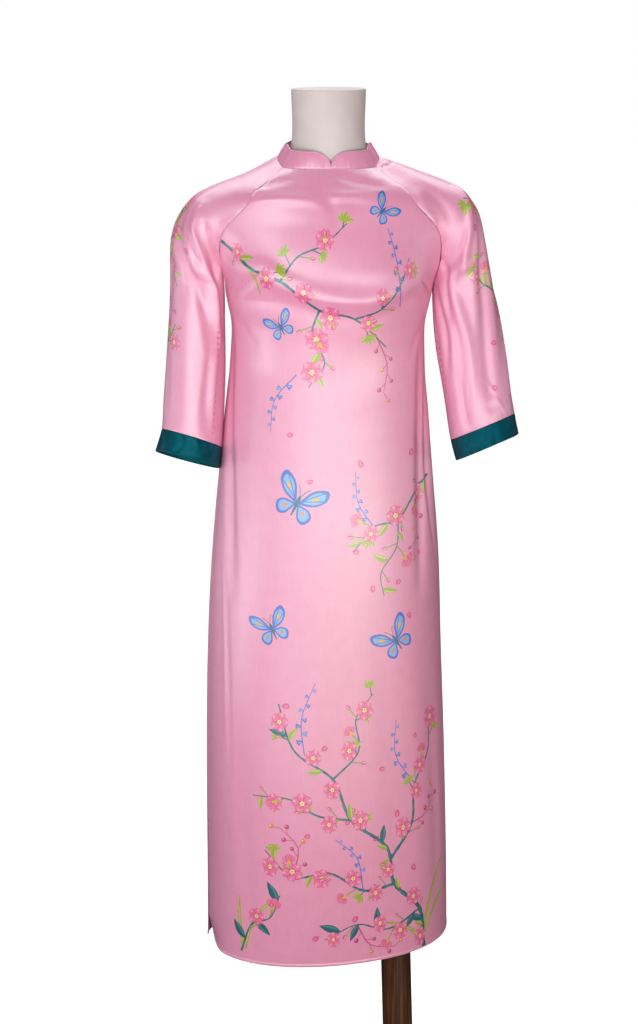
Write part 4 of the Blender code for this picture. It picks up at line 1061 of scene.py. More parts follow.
def new_satin(name, pale, deep, rough, level, glint):
    """Satin with a printed pattern, dyed between two shades of its ground colour; its sheen has the glint's tint."""
    finish, tree, shader = new_finish(name, Roughness=rough, IOR=1.65, Specular_IOR_Level=level, Anisotropic=0.75,
                                      Specular_Tint=linear(glint))
    cloth = add_node(tree, "ShaderNodeUVMap", {"uv_map": "cloth"}).outputs["UV"]
    printed = add_node(tree, "ShaderNodeVertexColor", {"layer_name": "print"})
    stretched = add_node(tree, "ShaderNodeMapping", {}, Vector=cloth, Scale=(1 / STREAK_WIDE, 1 / STREAK_LONG, 1.0))
    streaks = add_node(tree, "ShaderNodeTexNoise", {}, Vector=stretched.outputs["Vector"], Scale=1.0, Detail=2.0)
    blotch = add_node(tree, "ShaderNodeTexNoise", {}, Vector=cloth, Scale=1 / DYE_BLOTCH, Detail=3.0)
    both = add_node(tree, "ShaderNodeMix", {}, Factor=0.45, A=streaks.outputs["Fac"],
                    B=blotch.outputs["Fac"]).outputs["Result"]
    ground = add_node(tree, "ShaderNodeValToRGB", {"stops": ((0.30, deep), (0.70, pale))}, Fac=both)
    dye = add_node(tree, "ShaderNodeMapRange", {}, Value=both, From_Min=0.3, From_Max=0.7, To_Min=0.86, To_Max=1.06)
    ink = add_node(tree, "ShaderNodeVectorMath", {"operation": "SCALE"}, Vector=printed.outputs["Color"],
                   Scale=dye.outputs["Result"])
    mixed = add_node(tree, "ShaderNodeMix", {"data_type": "RGBA"})
    # 6 and 7 are a colour mix's own sockets A and B, and 2 is its result.
    feed(mixed, {0: printed.outputs["Alpha"], 6: ground.outputs["Color"], 7: ink.outputs["Vector"]})
    bump = add_node(tree, "ShaderNodeBump", {}, Height=streaks.outputs["Fac"], Distance=0.00005, Strength=0.35)
    along = add_node(tree, "ShaderNodeTangent", {"direction_type": "UV_MAP", "uv_map": "cloth"})
    feed(shader, {"Base Color": mixed.outputs[2], "Normal": bump.outputs["Normal"], "Tangent": along.outputs[0]})
    return finish


pink_satin = new_satin("printed_pink_satin", "#f1a2c2", "#e996b6", 0.38, 1.0, "#e2fffb")
front_piece = place_piece("front_panel_satin", front_mesh, pink_satin, "front_panel")

# ---- Back panel
# The same satin, cut like the front but plain over the shoulder blades, and hollow at the waist.
# The same satin, cut like the front but plain over the shoulder blades, and hollow at the waist.
BACK = (
    (280, 187.2, 0, 125, 90, 0.58, 0.56, 0, 0, 0),
    (500, 183.2, 0, 125, 90, 0.58, 0.56, 0, 0, 0),
    (750, 175.2, 0, 124, 90, 0.58, 0.56, 0, 0, 0),
    (870, 169.5, 0, 122.5, 90, 0.58, 0.56, 0, 0, 0),
    (965, 161.8, 0, 119, 90, 0.58, 0.56, 0, 0, 0),
    (1020, 156.2, 0, 115, 90, 0.58, 0.56, 0, 0, 0),
    (1112, 146.6, 0, 102, 90, 0.58, 0.56, 0, 0, 0),
    (1148, 142.7, 0, 96.5, 90, 0.58, 0.56, 0, 0, 0),
    (1195, 139.9, 0, 91.5, 90, 0.58, 0.56, 0, 0, 0),
    (1230, 140, 0, 92, 90, 0.58, 0.56, 0, 0, 0),
    (1273.2, 148.5, 2, 97, 89, 0.56, 0.56, 0, 0, 0),
    (1290, 150.2, 22, 99, 78, 0.54, 0.54, 0, 0, 0),
    (1310, 150.5, 42, 101, 64, 0.5, 0.5, 0, 0, 0),
    (1330, 147, 57, 102.5, 52, 0.46, 0.45, 0, 0, 0),
    (1350, 140.5, 68, 102.5, 42, 0.43, 0.41, 0, 0, 0),
    (1375, 130, 76.5, 100.5, 33, 0.41, 0.38, 0, 0, 0),
    (1400, 116.5, 78, 96.5, 29, 0.4, 0.36, 0, 0, 0),
    (1420, 103.5, 74, 91, 30, 0.4, 0.36, 0, 0, 0),
    (1440, 88, 65, 82, 36, 0.42, 0.38, 1, 0, 0),
    (1455.5, 74, 52, 71, 46, 0.46, 0.44, 3, 0, 0),
    (1466, 61, 36.5, 59, 56, 0.5, 0.5, 4, 0, 0),
)
back = sections(PANEL_COLUMNS, BACK)
BACK_CREASES = (
    # across the hollow of the waist
    (-3, 14, 105, 1214, 40, 1192, -30, 1164, -85, 1150),
    (-2.6, 13, -110, 1228, -50, 1208, 10, 1192, 60, 1170),
    (1.6, 15, 110, 1180, 50, 1160, 0, 1140),
    (-1.6, 11, -130, 1180, -80, 1168, -30, 1140),
    # shoulder blades and neck
    (1.4, 20, -90, 1330, -70, 1370, -60, 1405),
    (1.2, 20, 80, 1320, 66, 1360, 58, 1400),
    (-1.2, 10, -40, 1438, 0, 1428, 45, 1436),
    (-1.4, 12, -150, 1300, -110, 1290, -70, 1300),
    (-1.2, 11, 155, 1296, 115, 1284, 80, 1290),
    # long flutes of the skirt
    (-4, 22, 52, 990, 62, 860, 78, 600, 90, 320),
    (-3.5, 24, -68, 940, -80, 780, -92, 520, -100, 310),
    (2, 22, 0, 880, -4, 620, 6, 310),
    (1.8, 16, 120, 820, 130, 600, 136, 330),
    (-1.8, 14, 158, 900, 160, 700, 160, 460),
    (-1.8, 15, -150, 960, -158, 760, -150, 480),
    (0.4, 1.8, -100, 930, 90, 930.5),
)
BACK_TWIGS = (
    ("5 flower 5 leaf 4 bud 2 tuft", 5, 2, 166, 1330, 110, 1300, 52, 1292, -4, 1256, -58, 1246, -98, 1206),
    ("2 flower 3 tuft 2 bud", 3.2, 1.4, 52, 1292, 30, 1330, -10, 1352, -40, 1388),
    ("1 flower 1 half 2 bud 3 leaf", 3, 1.4, -4, 1256, 12, 1215, -10, 1170),
    ("3 flower 2 half 3 bud 4 leaf 1 tuft", 4.2, 1.8, -170, 960, -120, 945, -78, 905, -30, 900, 12, 862),
    ("7 flower 6 leaf 4 bud 3 tuft 3 deep", 7.5, 2.4, -130, 285, -105, 360, -62, 405, -56, 470,
     4, 530, 30, 600, 84, 640),
    ("3 flower 1 half 3 bud 4 leaf 2 tuft", 4.6, 1.6, -60, 450, -105, 500, -110, 570, -144, 620),
    ("4 flower 2 half 3 bud 4 leaf 2 tuft", 4.6, 1.6, -66, 402, -10, 392, 40, 428, 94, 420, 132, 462),
    ("2 flower 3 tuft 2 bud 1 half", 3, 1.3, 4, 530, -30, 590, -26, 650, -52, 700),
)
BACK_BELLS = (
    (8.5, 62, 1284, 90, 1240, 94, 1190), (9, -30, 900, -10, 940, -16, 990), (9, 30, 600, 10, 650, 22, 705),
)
BACK_BERRIES = ((8, -120, 945, -132, 900, -116, 860), (8.5, 94, 420, 88, 470, 106, 510))
BACK_BUTTERFLIES = ((64, 1040, 44, -0.5), (-70, 760, 38, 0.6), (100, 790, 34, 0.3))

shapes = scattered(5, 20, (-0.14, 0.14), (0.33, 1.38))
for kind, seed, rows in ((bell_spike, 6, BACK_BELLS), (berries, 7, BACK_BERRIES)):
    for row in rows:
        shapes += sprig(kind, row, np.random.default_rng(seed))
shapes += butterflies(BACK_BUTTERFLIES) + dressed(BACK_TWIGS, 21)
back_mesh = panel_piece("back_panel_satin", panel_cut(back, 1, NAPE), NAPE, BACK_CREASES, shapes)
back_piece = place_piece("back_panel_satin", back_mesh, pink_satin, "back_panel")

# ---- Raglan sleeves
# Each sleeve is one piece of the same satin, sewn to both panels from the armpit to the neck and
# to itself below. The viewer's right sleeve is held to the front by hidden snaps near the neck.
YOKE_COLUMNS = (
    "station* front_z back_z left_x left_z right_x right_z out_y"
    " front_turn* front_reach front_crown back_turn* back_reach back_crown"
)
YOKE = (
    (0, 1452, 1466, 72.5, 1460, 72.5, 1463.5, -3, 62, 13, 14, 62, 12, 14),
    (1, 1438, 1455.5, 95, 1450, 95, 1456.2, -2, 46, 21, 25, 50, 18, 24),
    (2, 1426.5, 1440, 122, 1438.5, 122, 1446.5, -1, 35, 27, 34, 40, 25, 34),
    (3, 1404, 1420, 150, 1428.5, 150, 1436.5, -1, 25, 33, 41, 31, 31, 42),
    (4, 1378, 1398.5, 175, 1418.5, 175.5, 1426.5, -1, 15, 35, 45, 24, 35, 47),
    (5, 1365, 1376, 192.5, 1407.5, 192.5, 1417, -2, 4, 36, 47, 14, 37, 50),
    (6, 1352, 1353, 206, 1392.5, 206, 1401, -3, -9, 38, 49, 0, 39, 52),
    (7, 1334.5, 1331, 217.2, 1374, 215.5, 1383, -4, -24, 43, 52, -17, 43, 53),
    (8, 1311, 1310, 224.5, 1349, 222, 1357, -4, -46, 50, 56, -40, 50, 56),
    (9, 1287.5, 1290, 226.2, 1322, 227.5, 1330, -5, -70, 60, 61, -66, 60, 60),
)
TUBE_COLUMNS = "station* in_x in_y in_z out_x out_y out_z front back tilt"
TUBE_LEFT = (
    (10, 150, -8, 1273.2, 226.2, -6, 1296, 52, 50, 2),
    (11, 148.4, -8, 1235, 227.5, -8, 1258, 53, 52, 4),
    (12, 147.8, -10, 1185, 231, -12, 1206, 53, 53, 6),
    (13, 149, -15, 1130, 235, -18, 1152, 52, 52, 9),
    (14, 151.5, -21, 1080, 238.5, -24, 1104, 51, 52, 12),
    (15, 154, -27, 1048, 240.8, -28, 1074.5, 50, 51, 14),
    (16, 157, -31, 1018, 250.5, -31, 1043, 52, 53, 15),
)
TUBE_RIGHT = (
    (10, 151.5, 6, 1273.2, 232.5, -5, 1303, 52, 50, 2),
    (11, 151.5, 2, 1233, 240, -7, 1262, 53, 52, 4),
    (12, 156.5, -3, 1186, 249.5, -9, 1207, 53, 53, 6),
    (13, 165, -8, 1139, 258, -12, 1163, 52, 53, 8),
    (14, 172.2, -13, 1094, 265.5, -15, 1123, 52, 53, 9),
    (15, 178.5, -16, 1057, 270.5, -18, 1096.5, 50, 51, 10),
    (16, 186.5, -19, 1026.5, 276.8, -20, 1066, 52, 53, 11),
)
HANDLE_CLIMB = 0.35  # how far a yoke section's first handle follows the raglan seam upwards
CLIMB_STEP = 0.001  # the height over which that seam's direction is measured
ARMPIT_GAP = 0.0005  # room between the sleeve's inner line and the body at the armpit
JOIN_POWER = 4  # how late the seam ends leave the raglan seams for the sleeve's inner line
BLEND_REACH, BLEND_SPREAD = 1.1, 1.3  # stations blended at the armpit, and how that fades
BLEND = ((-1.0, 0.0625), (-0.5, 0.25), (0.0, 0.375), (0.5, 0.25), (1.0, 0.0625))
HALF_OVAL = 0.75  # a Bezier arc with both handles this share of its depth bulges by that depth
FIRST_TUBE, CUFF_TOP, SLEEVE_END = 10, 15, 16
CUFF_GAP = 0.002  # half of the seam gap between a sleeve and its cuff, in stations
TUBE_COLUMNS_ROUND, TUBE_POINTS = 141, 100  # columns of a sleeve's form, and points along its ends


def table_rows(columns, rows):
    """A table's rows one by one, their values by column."""
    table = metres(columns, rows)
    return [dict(zip(table, row)) for row in zip(*table.values())]


def raglan(table, way, side, z):
    """Points of a raglan seam: the panel's edge on one side."""
    return placed(side * table("half", z), way * table("edge", z), z)


def seam_height(way, station):
    """Height of the front (-1) or back (1) raglan seam at a sleeve station."""
    heights = np.append(metres(YOKE_COLUMNS, YOKE)["front_z" if way < 0 else "back_z"], ARMPIT)
    return spline(np.arange(FIRST_TUBE + 1, dtype=float), heights, station)


def sleeve_controls(side):
    """Station by station: the seam point, the outer point, and the handles at the seams and at the outer point."""
    tube, label = (TUBE_LEFT, "left") if side < 0 else (TUBE_RIGHT, "right")
    rows = []
    for k in table_rows(YOKE_COLUMNS, YOKE):
        outer = np.array([side * k[label + "_x"], k["out_y"], k[label + "_z"]])
        handles = []
        for way, table, name in ((-1, front, "front"), (1, back, "back")):
            seam_z, turn = k[name + "_z"], np.radians(k[name + "_turn"])
            climb = raglan(table, way, side, seam_z) - raglan(table, way, side, seam_z - CLIMB_STEP)
            leave = k[name + "_reach"] * np.array([side * np.cos(turn), -way * np.sin(turn), 0])
            leave += HANDLE_CLIMB * (outer[2] - seam_z) / CLIMB_STEP * climb
            handles += [leave, (0, way * k[name + "_crown"], 0)]
        rows.append(np.concatenate([np.zeros(3), outer, *handles]))
    for k in table_rows(TUBE_COLUMNS, tube):
        inner = np.array([side * k["in_x"], k["in_y"], k["in_z"]])
        if k["station"] == FIRST_TUBE:
            inner = (raglan(front, -1, side, ARMPIT) + raglan(back, 1, side, ARMPIT)) / 2
            inner[0] += side * ARMPIT_GAP
        ahead = np.array([0, -k["front"], k["tilt"]]) / HALF_OVAL
        behind = np.array([0, k["back"], -k["tilt"]]) / HALF_OVAL
        outer = side * k["out_x"], k["out_y"], k["out_z"]
        rows.append(np.concatenate([inner, outer, ahead, ahead, behind, behind]))
    return np.array(rows)


CONTROLS = {side: sleeve_controls(side) for side in (-1, 1)}


def sleeve_arc(side, way, station):
    """Control points of the front (-1) or back (1) arc, from the seam to the outer line."""
    controls = CONTROLS[side]
    order = np.arange(len(controls), dtype=float)
    read = spline(order, controls, station)
    tube = spline(order[FIRST_TUBE:], controls[FIRST_TUBE:, :3], station)
    join = np.clip(np.asarray(station) - (FIRST_TUBE - 1), 0, 1)[..., None] ** JOIN_POWER
    seam = raglan(front if way < 0 else back, way, side, seam_height(way, station))
    seam = seam * (1 - join) + tube * join
    first = 6 if way < 0 else 12
    leave, crown = read[..., first : first + 3], read[..., first + 3 : first + 6]
    return [seam, seam + leave, read[..., 3:6] + crown, read[..., 3:6]]


def sleeve_section(side, share, station):
    """Points, and their distance from the outer line. share is 0 at the front seam, 1 outside and 2 at the back."""
    share, station = np.broadcast_arrays(share, station)
    result, along = np.zeros(share.shape + (3,)), np.zeros(share.shape)
    open_here = np.clip(FIRST_TUBE - station, 0, 1)
    for way, mask, part in ((-1, share <= 1, share), (1, share > 1, 2 - share)):
        arc = sleeve_arc(side, way, station)
        length = arc_lengths(arc)[-1]
        kept = length - (0.3 + 0.7 * open_here) * SEAM_GAP / 2
        result[mask] = at_length(arc, np.minimum(length, length - kept * (1 - part)))[mask]
        along[mask] = (-way * kept * (1 - part))[mask]
    return result, along


def sleeve(side, share, station):
    """A sleeve's sections, each blended with its neighbours by fixed weights where the armhole closes."""
    station = np.asarray(station, float)
    reach = BLEND_REACH * hump(station - FIRST_TUBE, BLEND_SPREAD)
    parts = [(weight, sleeve_section(side, share, station + offset * reach)) for offset, weight in BLEND]
    return [sum(weight * part[i] for weight, part in parts) for i in (0, 1)]


def sleeve_cut(side, first, last, rows):
    """The pattern piece between two stations. v is the length up the outer line, 0 at the neck."""
    whole = np.linspace(0, SLEEVE_END, 400)
    outer = sleeve(side, 1.0, whole)[0]
    down = np.append(0, np.linalg.norm(np.diff(outer, axis=0), axis=1).cumsum())
    station = np.linspace(last, first, rows)
    points, s = sleeve(side, np.linspace(2, 0, TUBE_COLUMNS_ROUND)[None], station[:, None])
    return Cut(points, -np.interp(station, whole, down), s[:, 0], s[:, -1], -side)


def tube_piece(name, cut, creases, shapes, lower):
    """A sleeve's or a cuff's mesh. Its sides and its top are sewn, and lower gives the relief of its lower edge.

    Its outline runs along the bottom, up the front edge, back over the top and down the back edge.
    """
    bottom, top = cut.v[0], cut.v[-1]
    v = np.linspace(bottom, top, max(8, int((top - bottom) / 0.003)))
    left, right = (np.interp(v, cut.v, side) for side in (cut.left, cut.right))
    share = np.linspace(0, 1, TUBE_POINTS)[1:-1]
    outline = np.concatenate([
        [(left[0], bottom)], stack(left[0] + (right[0] - left[0]) * share, bottom), stack(right, v),
        stack(right[-1] + (left[-1] - right[-1]) * share, top), stack(left, v)[::-1][:-1]])

    def seam_margin(u, v):
        return np.minimum(np.minimum(*cut.sides(u, v)), top - v)

    def relief(u, v):
        back_side, front_side = cut.sides(u, v)
        edges = sewn(back_side, v) + sewn(front_side, v + 0.17) + sewn(top - v, u) + lower(v - bottom, u)
        return creased(creases, u, v) + edges

    return cut_cloth(name, cut, outline, lambda u, v: np.minimum(seam_margin(u, v), v - bottom), seam_margin,
                     relief, shapes)


SLEEVE_CREASES = {
    -1: (
        # long folds from the shoulder and the armpit down the front
        (5.8, 8.5, 50, -120, 66, -156, 84, -178, 98, -200, 107, -235, 109, -270, 118, -325),
        (-5.2, 8, 78, -140, 92, -158, 107, -181, 120, -209, 124, -245, 126, -300),
        (-6.2, 12, 26, -145, 48, -188, 69, -223, 83, -264, 93, -300, 100, -335),
        (-4, 8.5, 101, -330, 99, -372, 96, -411, 94, -452),
        (3.4, 7.5, 114, -330, 110, -365, 108, -400, 108, -456),
        (2.6, 18, 52, -250, 60, -330, 66, -410, 66, -462),
        (-3.4, 12, 10, -110, 16, -170, 20, -240, 16, -310),
        (-1.6, 11, 26, -360, 30, -420, 30, -470),
        (-1.2, 4.5, 100, -146, 116, -168, 134, -194),
        (1, 4.5, 104, -160, 122, -184, 138, -210),
        (1, 13, 20, -60, 28, -100, 40, -134),
        # the seam under the arm
        (-0.9, 2, 114, -196, 117, -270, 114, -360, 112, -478),
        (0.5, 2.8, 119, -196, 122, -270, 119, -360, 117, -478),
        # behind
        (-5.6, 12, -58, -150, -70, -220, -82, -300, -88, -390),
        (-3.4, 10, -106, -190, -112, -280, -104, -360),
        (3.6, 10, -94, -200, -98, -300, -106, -420),
        (-2, 12, -30, -260, -40, -350, -36, -440),
        (1.4, 11, -50, -60, -58, -110, -52, -160),
    ),
    1: (
        (5.2, 10, 10, -116, 44, -147, 62, -171, 73, -200, 80, -250),
        (-8.6, 12.5, 10, -150, 32, -190, 44, -283, 57, -365, 65, -440),
        (5.2, 10.5, 100, -215, 90, -271, 83, -331, 84, -375, 92, -440),
        (-4.4, 8, 134, -236, 120, -285, 116, -330, 122, -380),
        (-3.6, 7.5, 118, -172, 110, -210, 103, -253, 102, -303),
        (3.4, 12, -30, -250, 4, -340, 26, -440),
        (2.8, 9, 60, -70, 80, -92, 96, -120),
        (-2.4, 9, 46, -60, 58, -96, 80, -136),
        (-2, 7, 104, -390, 106, -430, 104, -462),
        (1.4, 4.5, 100, -140, 120, -156, 140, -186),
        (-1.2, 4.5, 96, -154, 118, -172, 138, -204),
        (0.6, 2.6, 64, -404, 50, -440, 36, -470),
        (0.6, 2.6, 6, -416, 38, -438, 72, -460),
        # the seam under the arm
        (-0.9, 2, 136, -200, 141, -280, 140, -360, 138, -474),
        (0.5, 2.8, 141, -200, 146, -280, 145, -360, 143, -474),
        # pucker over the upper snap
        (1.2, 3, 27, -3, 19, -9, 8, -12),
        (-1.2, 2.8, 25, -10, 16, -17, 4, -19),
        # behind
        (-5.4, 12, -60, -150, -72, -220, -88, -300, -96, -390),
        (-3.2, 10, -110, -200, -116, -280, -106, -350),
        (3.4, 10, -98, -220, -104, -310, -110, -420),
        (-2, 12, -40, -290, -36, -370, -44, -440),
    ),
}
SLEEVE_TWIGS = {
    -1: (
        ("3 flower 5 leaf 3 bud 2 tuft", 4.4, 1.6, -26, -110, 2, -150, 28, -180, 24, -222, 44, -262),
        ("1 flower 1 half 2 bud 2 leaf", 2.8, 1.3, 28, -180, 0, -206, -20, -240),
        ("2 flower 1 half 3 leaf 3 bud 1 tuft", 4, 1.5, -40, -340, -10, -330, 20, -346, 42, -318),
        ("3 flower 1 half 4 leaf 2 bud 1 tuft", 4.2, 1.4, -140, -440, -96, -400, -84, -340, -60, -300),
        ("1 flower 1 half 3 leaf 2 bud", 3, 1.3, -110, -150, -80, -190, -82, -240),
    ),
    1: (
        ("1 flower 4 leaf 3 bud 2 tuft", 3.6, 1.5, -40, -150, -8, -172, 16, -160, 36, -130),
        ("2 flower 1 half 4 leaf 4 bud 2 tuft", 4.4, 1.6, -50, -310, -10, -290, 26, -276, 46, -246, 40, -210),
        ("2 flower 2 bud 2 leaf", 3, 1.3, -10, -290, 4, -330, -6, -372),
        ("3 flower 1 half 4 leaf 2 bud 1 tuft", 4.2, 1.4, -60, -456, -90, -400, -82, -340, -116, -290),
        ("1 flower 1 half 3 leaf 2 bud", 3, 1.3, -60, -120, -86, -170, -80, -220),
    ),
}
SLEEVE_BUTTERFLIES = {-1: (-30, -420, 26, 0.6), 1: (-34, -230, 26, -0.5)}
for label, side in (("left", -1), ("right", 1)):
    shapes = scattered(8 + side, 8, (-0.11, 0.07), (-0.44, -0.14)) + butterflies([SLEEVE_BUTTERFLIES[side]])
    mesh = tube_piece("sleeve_" + label + "_satin", sleeve_cut(side, 0, CUFF_TOP - CUFF_GAP, 150),
                      SLEEVE_CREASES[side], shapes + dressed(SLEEVE_TWIGS[side], 40 + side), sewn)
    place_piece(mesh.name, mesh, pink_satin, "sleeve_" + label)

# ---- Cuff bands
# Bands of plain deep teal satin, 30 mm wide, sewn round the ends of the sleeves and turned under
# at the lower edge.
teal_satin = new_satin("plain_teal_satin", "#004451", "#003844", 0.4, 0.32, "#48d8e8")
CUFF_CREASES = (
    (1.4, 6, -120, -480, -80, -474, -50, -482),
    (-1.8, 6, 60, -476, 68, -490, 62, -506),
    (1.6, 6, 82, -474, 90, -488, 86, -504),
    (-1.4, 5, 104, -472, 112, -486, 108, -502),
    (-1.6, 6, 6, -474, 14, -488, 10, -504),
    (1.4, 7, 30, -476, 38, -490, 36, -504),
)
CUFF_SEAM = {-1: 112, 1: 138}  # where each band's own seam lies, from the sleeve's outer line


def turned_under(distance, along):
    """The band's lower edge is a soft fold: it rolls in, and a stitch line lies above it."""
    distance = np.maximum(distance, 0)
    stitches = 0.0002 * hump(distance - HEM_WIDE, STITCH_WIDE) * (1 + 0.5 * uneven(along, STITCH_LONG))
    return -0.0006 * hump(distance, 0.0012) - stitches


for label, side in (("left", -1), ("right", 1)):
    folds = CUFF_CREASES + ((-1.1, 2.4, CUFF_SEAM[side], -466, CUFF_SEAM[side], -520),)
    mesh = tube_piece("cuff_" + label + "_satin", sleeve_cut(side, CUFF_TOP + CUFF_GAP, SLEEVE_END, 20),
                      folds, (), turned_under)
    place_piece(mesh.name, mesh, teal_satin, "cuff_" + label)

# ---- Standing collar
# A band of two layers of the satin with stiffening between them, sewn round the neck seam. Its
# two ends are rounded off and meet at the centre front.
COLLAR_GAP = 0.0002  # room under the collar's base
COLLAR_RISE, NOTCH_RISE = 0.0235, 0.0035  # height of the collar, and at its very ends
COLLAR_LEAN, COLLAR_LEAN_FRONT, COLLAR_LEAN_BACK = 0.0135, 0.0065, 0.0030
COLLAR_END = 0.031  # length of the curved end on each side of the centre front
COLLAR_THICK = 0.0012
COLLAR_DIP, COLLAR_HUG = 0.30, 0.004  # how much lower and how much closer to the neck it is behind
COLLAR_COLUMNS, COLLAR_ROWS = 300, 22
COLLAR_STITCHES = 0.0022  # from its upper edge


def neck_seam():
    """A closed line along the neck seam, from the centre front over the viewer's right and back."""
    arc = np.linspace(0, 1, READ_STEPS + 1)
    seam = np.concatenate([
        panel(front, -1, arc, NECK_TOP)[0], sleeve(1, 2 * arc, 0.0)[0], panel(back, 1, 1 - 2 * arc, NAPE)[0],
        sleeve(-1, 2 - 2 * arc, 0.0)[0], panel(front, -1, arc - 1, NECK_TOP)[0]])
    return seam, np.append(0, np.linalg.norm(np.diff(seam, axis=0), axis=1).cumsum())


def quarter(share):
    """The height of a quarter circle at a share of its width."""
    return np.sqrt(1 - (1 - share) ** 2)


def outwards(grid):
    """Unit normals of a grid of points."""
    return unit(np.cross(np.gradient(grid, axis=1), np.gradient(grid, axis=0)))


# The collar's face: its base is on the neck seam, its top leans in, and its ends are quarter ovals.
seam, steps = neck_seam()
girth = steps[-1]
bend = np.linspace(0, np.pi, COLLAR_COLUMNS)
at = girth / 2 - girth / 2 * np.cos(bend) * (1 - 0.25 * np.sin(bend) ** 2)
at = np.clip(at, SEAM_GAP / 2, girth - SEAM_GAP / 2)
up = 1 - (1 - np.linspace(0, 1, COLLAR_ROWS)[:, None]) ** 1.4
base = np.stack([np.interp(at, steps, c) for c in seam.T], 1)
height = quarter(np.minimum(np.minimum(at, girth - at) / COLLAR_END, 1))
height = (NOTCH_RISE + (COLLAR_RISE - NOTCH_RISE) * height) / COLLAR_RISE
facing = unit((base - base.mean(0)) * (1, 1, 0))
middle_lean = np.where(facing[:, 1] < 0, COLLAR_LEAN_FRONT, COLLAR_LEAN_BACK)
behind = eased(facing[:, 1] / 0.5)
lean = middle_lean + (COLLAR_LEAN - middle_lean) * facing[:, 0] ** 2 + COLLAR_HUG * behind * np.abs(facing[:, 0])
height = height * (1 - COLLAR_DIP * behind)
rise = np.array([0, 0, COLLAR_RISE]) - facing * lean[:, None]
grid = base + np.array([0, 0, COLLAR_GAP]) + up[:, None] * height[:, None] * rise
for _ in range(4):  # each point blended with its neighbours along the collar, so that it has no kinks
    grid[:, 1:-1] = (grid[:, :-2] + 2 * grid[:, 1:-1] + grid[:, 2:]) / 4

# Its relief: swollen by the stiffening, pulled and rolled in at the seam, stitched near the top.
tall = height * COLLAR_RISE
along = np.broadcast_to(at, (COLLAR_ROWS, COLLAR_COLUMNS))
above, below = up * tall, (1 - up) * tall
arch = np.sin(np.pi * up)
relief = (
    0.0005 * arch * (tall / COLLAR_RISE)
    + 0.00030 * uneven(along, 0.0078) * np.exp(-above / 0.0065)  # puckers that fade upwards
    + 0.00022 * uneven(along + 0.2 * above, 0.023) * arch  # a slow ripple
    - 0.00022 * hump(below - COLLAR_STITCHES, STITCH_WIDE) * (1 + 0.4 * uneven(along, 0.005))
    - 0.0003 * hump(above, 0.0010)
)
edge_round = quarter(np.clip(below / 0.0008, 0, 1))
face = outwards(grid)
outer = grid + (relief - COLLAR_THICK * 0.425 * (1 - edge_round))[..., None] * face
inner = outer - (COLLAR_THICK * (0.15 + 0.85 * edge_round))[..., None] * face
number = np.arange(COLLAR_ROWS * COLLAR_COLUMNS).reshape(COLLAR_ROWS, COLLAR_COLUMNS)
faces = np.stack([number[:-1, :-1], number[:-1, 1:], number[1:, 1:], number[1:, :-1]], -1).reshape(-1, 4)
layers = [(layer.reshape(-1, 3), outwards(outer).reshape(-1, 3), faces) for layer in (outer, inner)]
uv = stack(along, above).reshape(-1, 2)
collar_mesh = cloth_mesh("collar_satin", *layers, [rim_edges(faces)] * 2, np.concatenate([uv, uv]), 1)
collar_piece = place_piece("collar_satin", collar_mesh, pink_satin, "collar")

# ---- Floor, lamps and camera
# White studio paper, so wide that it fills the picture behind the dress too. It glows white all over by its own
# emission, and that glow is dimmed round the base as a painted shadow; soft boxes round the dress, and the camera.
FLOOR_HALF = 160.0  # the paper's half width, in metres: it reaches past the top of the picture
# The paper's glow: dimmed under the base as a painted shadow, full further out, and at what radius.
PAINTED_SHADOW_GLOW, FLOOR_GLOW, PAINTED_SHADOW_RADIUS, GLOW_RADIUS = 0.5, 1.0, 0.15, 0.38
mesh = bpy.data.meshes.new("pale_floor")
corners = [(x * FLOOR_HALF, y * FLOOR_HALF, 0) for x, y in ((-1, -1), (1, -1), (1, 1), (-1, 1))]
mesh.from_pydata(corners, [], [(0, 1, 2, 3)])
floor = bpy.data.objects.new("pale_floor", mesh)
bpy.context.scene.collection.objects.link(floor)
# Seamless paper: white, quite matt, a little mottled. It glows, and its glow is weaker round the base as a painted
# shadow.
paper, tree, shader = new_finish("white_seamless_paper", Roughness=0.9, IOR=1.4, Emission_Color=(1.0, 1.0, 1.0, 1.0))
coords = add_node(tree, "ShaderNodeTexCoord", {}).outputs["Object"]
mottle = add_node(tree, "ShaderNodeTexNoise", {}, Vector=coords, Scale=3.0, Detail=3.0).outputs["Fac"]
colour = add_node(tree, "ShaderNodeValToRGB", {"stops": ((0.3, "#b4b3b2"), (0.7, "#bab9b8"))}, Fac=mottle)
# Painted shadow: the emission is weakest near the centre, under the base, and reaches its full glow further out.
radius = add_node(tree, "ShaderNodeVectorMath", {"operation": "LENGTH"}, Vector=coords).outputs["Value"]
glow_with_painted_shadow = add_node(tree, "ShaderNodeMapRange", {}, Value=radius, From_Min=PAINTED_SHADOW_RADIUS, From_Max=GLOW_RADIUS,
                To_Min=PAINTED_SHADOW_GLOW, To_Max=FLOOR_GLOW)
feed(shader, {"Base Color": colour.outputs["Color"], "Emission Strength": glow_with_painted_shadow.outputs["Result"]})
mesh.materials.append(paper)
floor.visible_diffuse = floor.visible_glossy = False  # it is only seen, so that the cloth keeps its dark sides

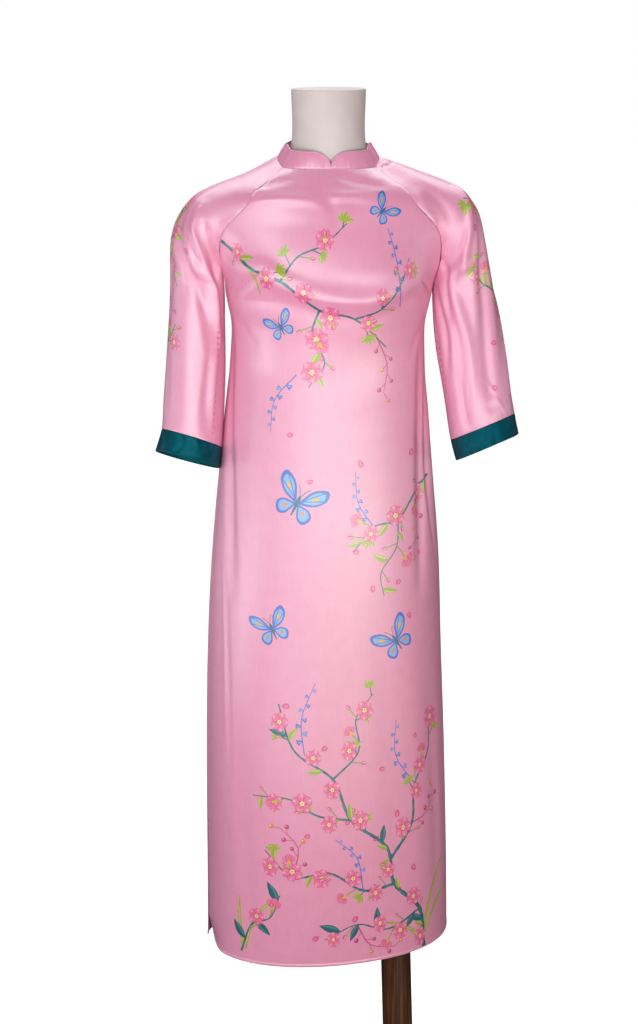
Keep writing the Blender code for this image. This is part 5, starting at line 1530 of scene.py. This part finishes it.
# Each lamp: place, the point on the dress's axis that it faces, size, power, colour and spread.
for name, place, aim, size, power, colour, spread in (
    ("key", (-1.4, -3.6, 2.3), 1.1, (2.2, 1.6), 60, (1.0, 0.985, 1.0), 180),
    ("front", (0.2, -3.7, 0.95), 1.15, (3.0, 1.4), 26, (1.0, 0.98, 1.0), 130),
    ("low", (-0.3, -2.3, 0.12), 1.3, (2.4, 0.6), 1.3, (1.0, 0.985, 1.0), 45),
    ("left", (-3.2, -1.8, 0.35), 1.35, (1.3, 0.9), 3.5, (1.0, 0.985, 1.0), 70),
    ("left_rim", (-3.0, 0.5, 0.9), 0.9, (1.0, 1.4), 10, (1.0, 0.97, 0.98), 180),
    ("right", (2.3, -3.0, 0.45), 1.25, (1.3, 0.9), 4.5, (1.0, 0.93, 0.88), 80),
    ("right_rim", (3.0, 0.2, 1.1), 1.0, (1.0, 1.0), 5, (0.92, 0.86, 1.0), 180),
    ("floor_bounce", (1.4, -2.2, 0.10), 0.5, (1.4, 0.8), 5, (1.0, 0.80, 0.62), 130),
    ("overhead", (0.2, 0.2, 3.3), 1.3, (1.4, 1.2), 12, (1.0, 0.985, 1.0), 180),
    ("behind", (0, 1.8, 3.6), 1.3, (4.0, 1.0), 90, (1.0, 0.985, 1.0), 180),
):
    light = bpy.data.lights.new(name, "AREA")
    light.shape, (light.size, light.size_y) = "RECTANGLE", size
    light.energy, light.color, light.spread = power, colour, math.radians(spread)
    lamp = bpy.data.objects.new(name, light)
    lamp.location = place
    lamp.visible_camera = False
    lamp.rotation_euler = (Vector((0, 0, aim)) - Vector(place)).to_track_quat("-Z", "Y").to_euler()
    bpy.context.scene.collection.objects.link(lamp)
world = bpy.data.worlds.new("studio")
world.use_nodes = True
feed(world.node_tree.nodes["Background"], {"Color": linear("#e6e6ea"), "Strength": 0.06})
bpy.context.scene.world = world
bpy.context.scene.view_settings.view_transform = "Standard"

lens = bpy.data.cameras.new("view")
lens.lens, lens.sensor_width, lens.clip_end = 80.4, 36.0, 400.0
camera = bpy.data.objects.new("view", lens)
camera.location = (-0.013, -3.275, 1.731)
camera.rotation_euler = (math.radians(90 - 13.5), 0, 0)
bpy.context.scene.collection.objects.link(camera)
bpy.context.scene.camera = camera
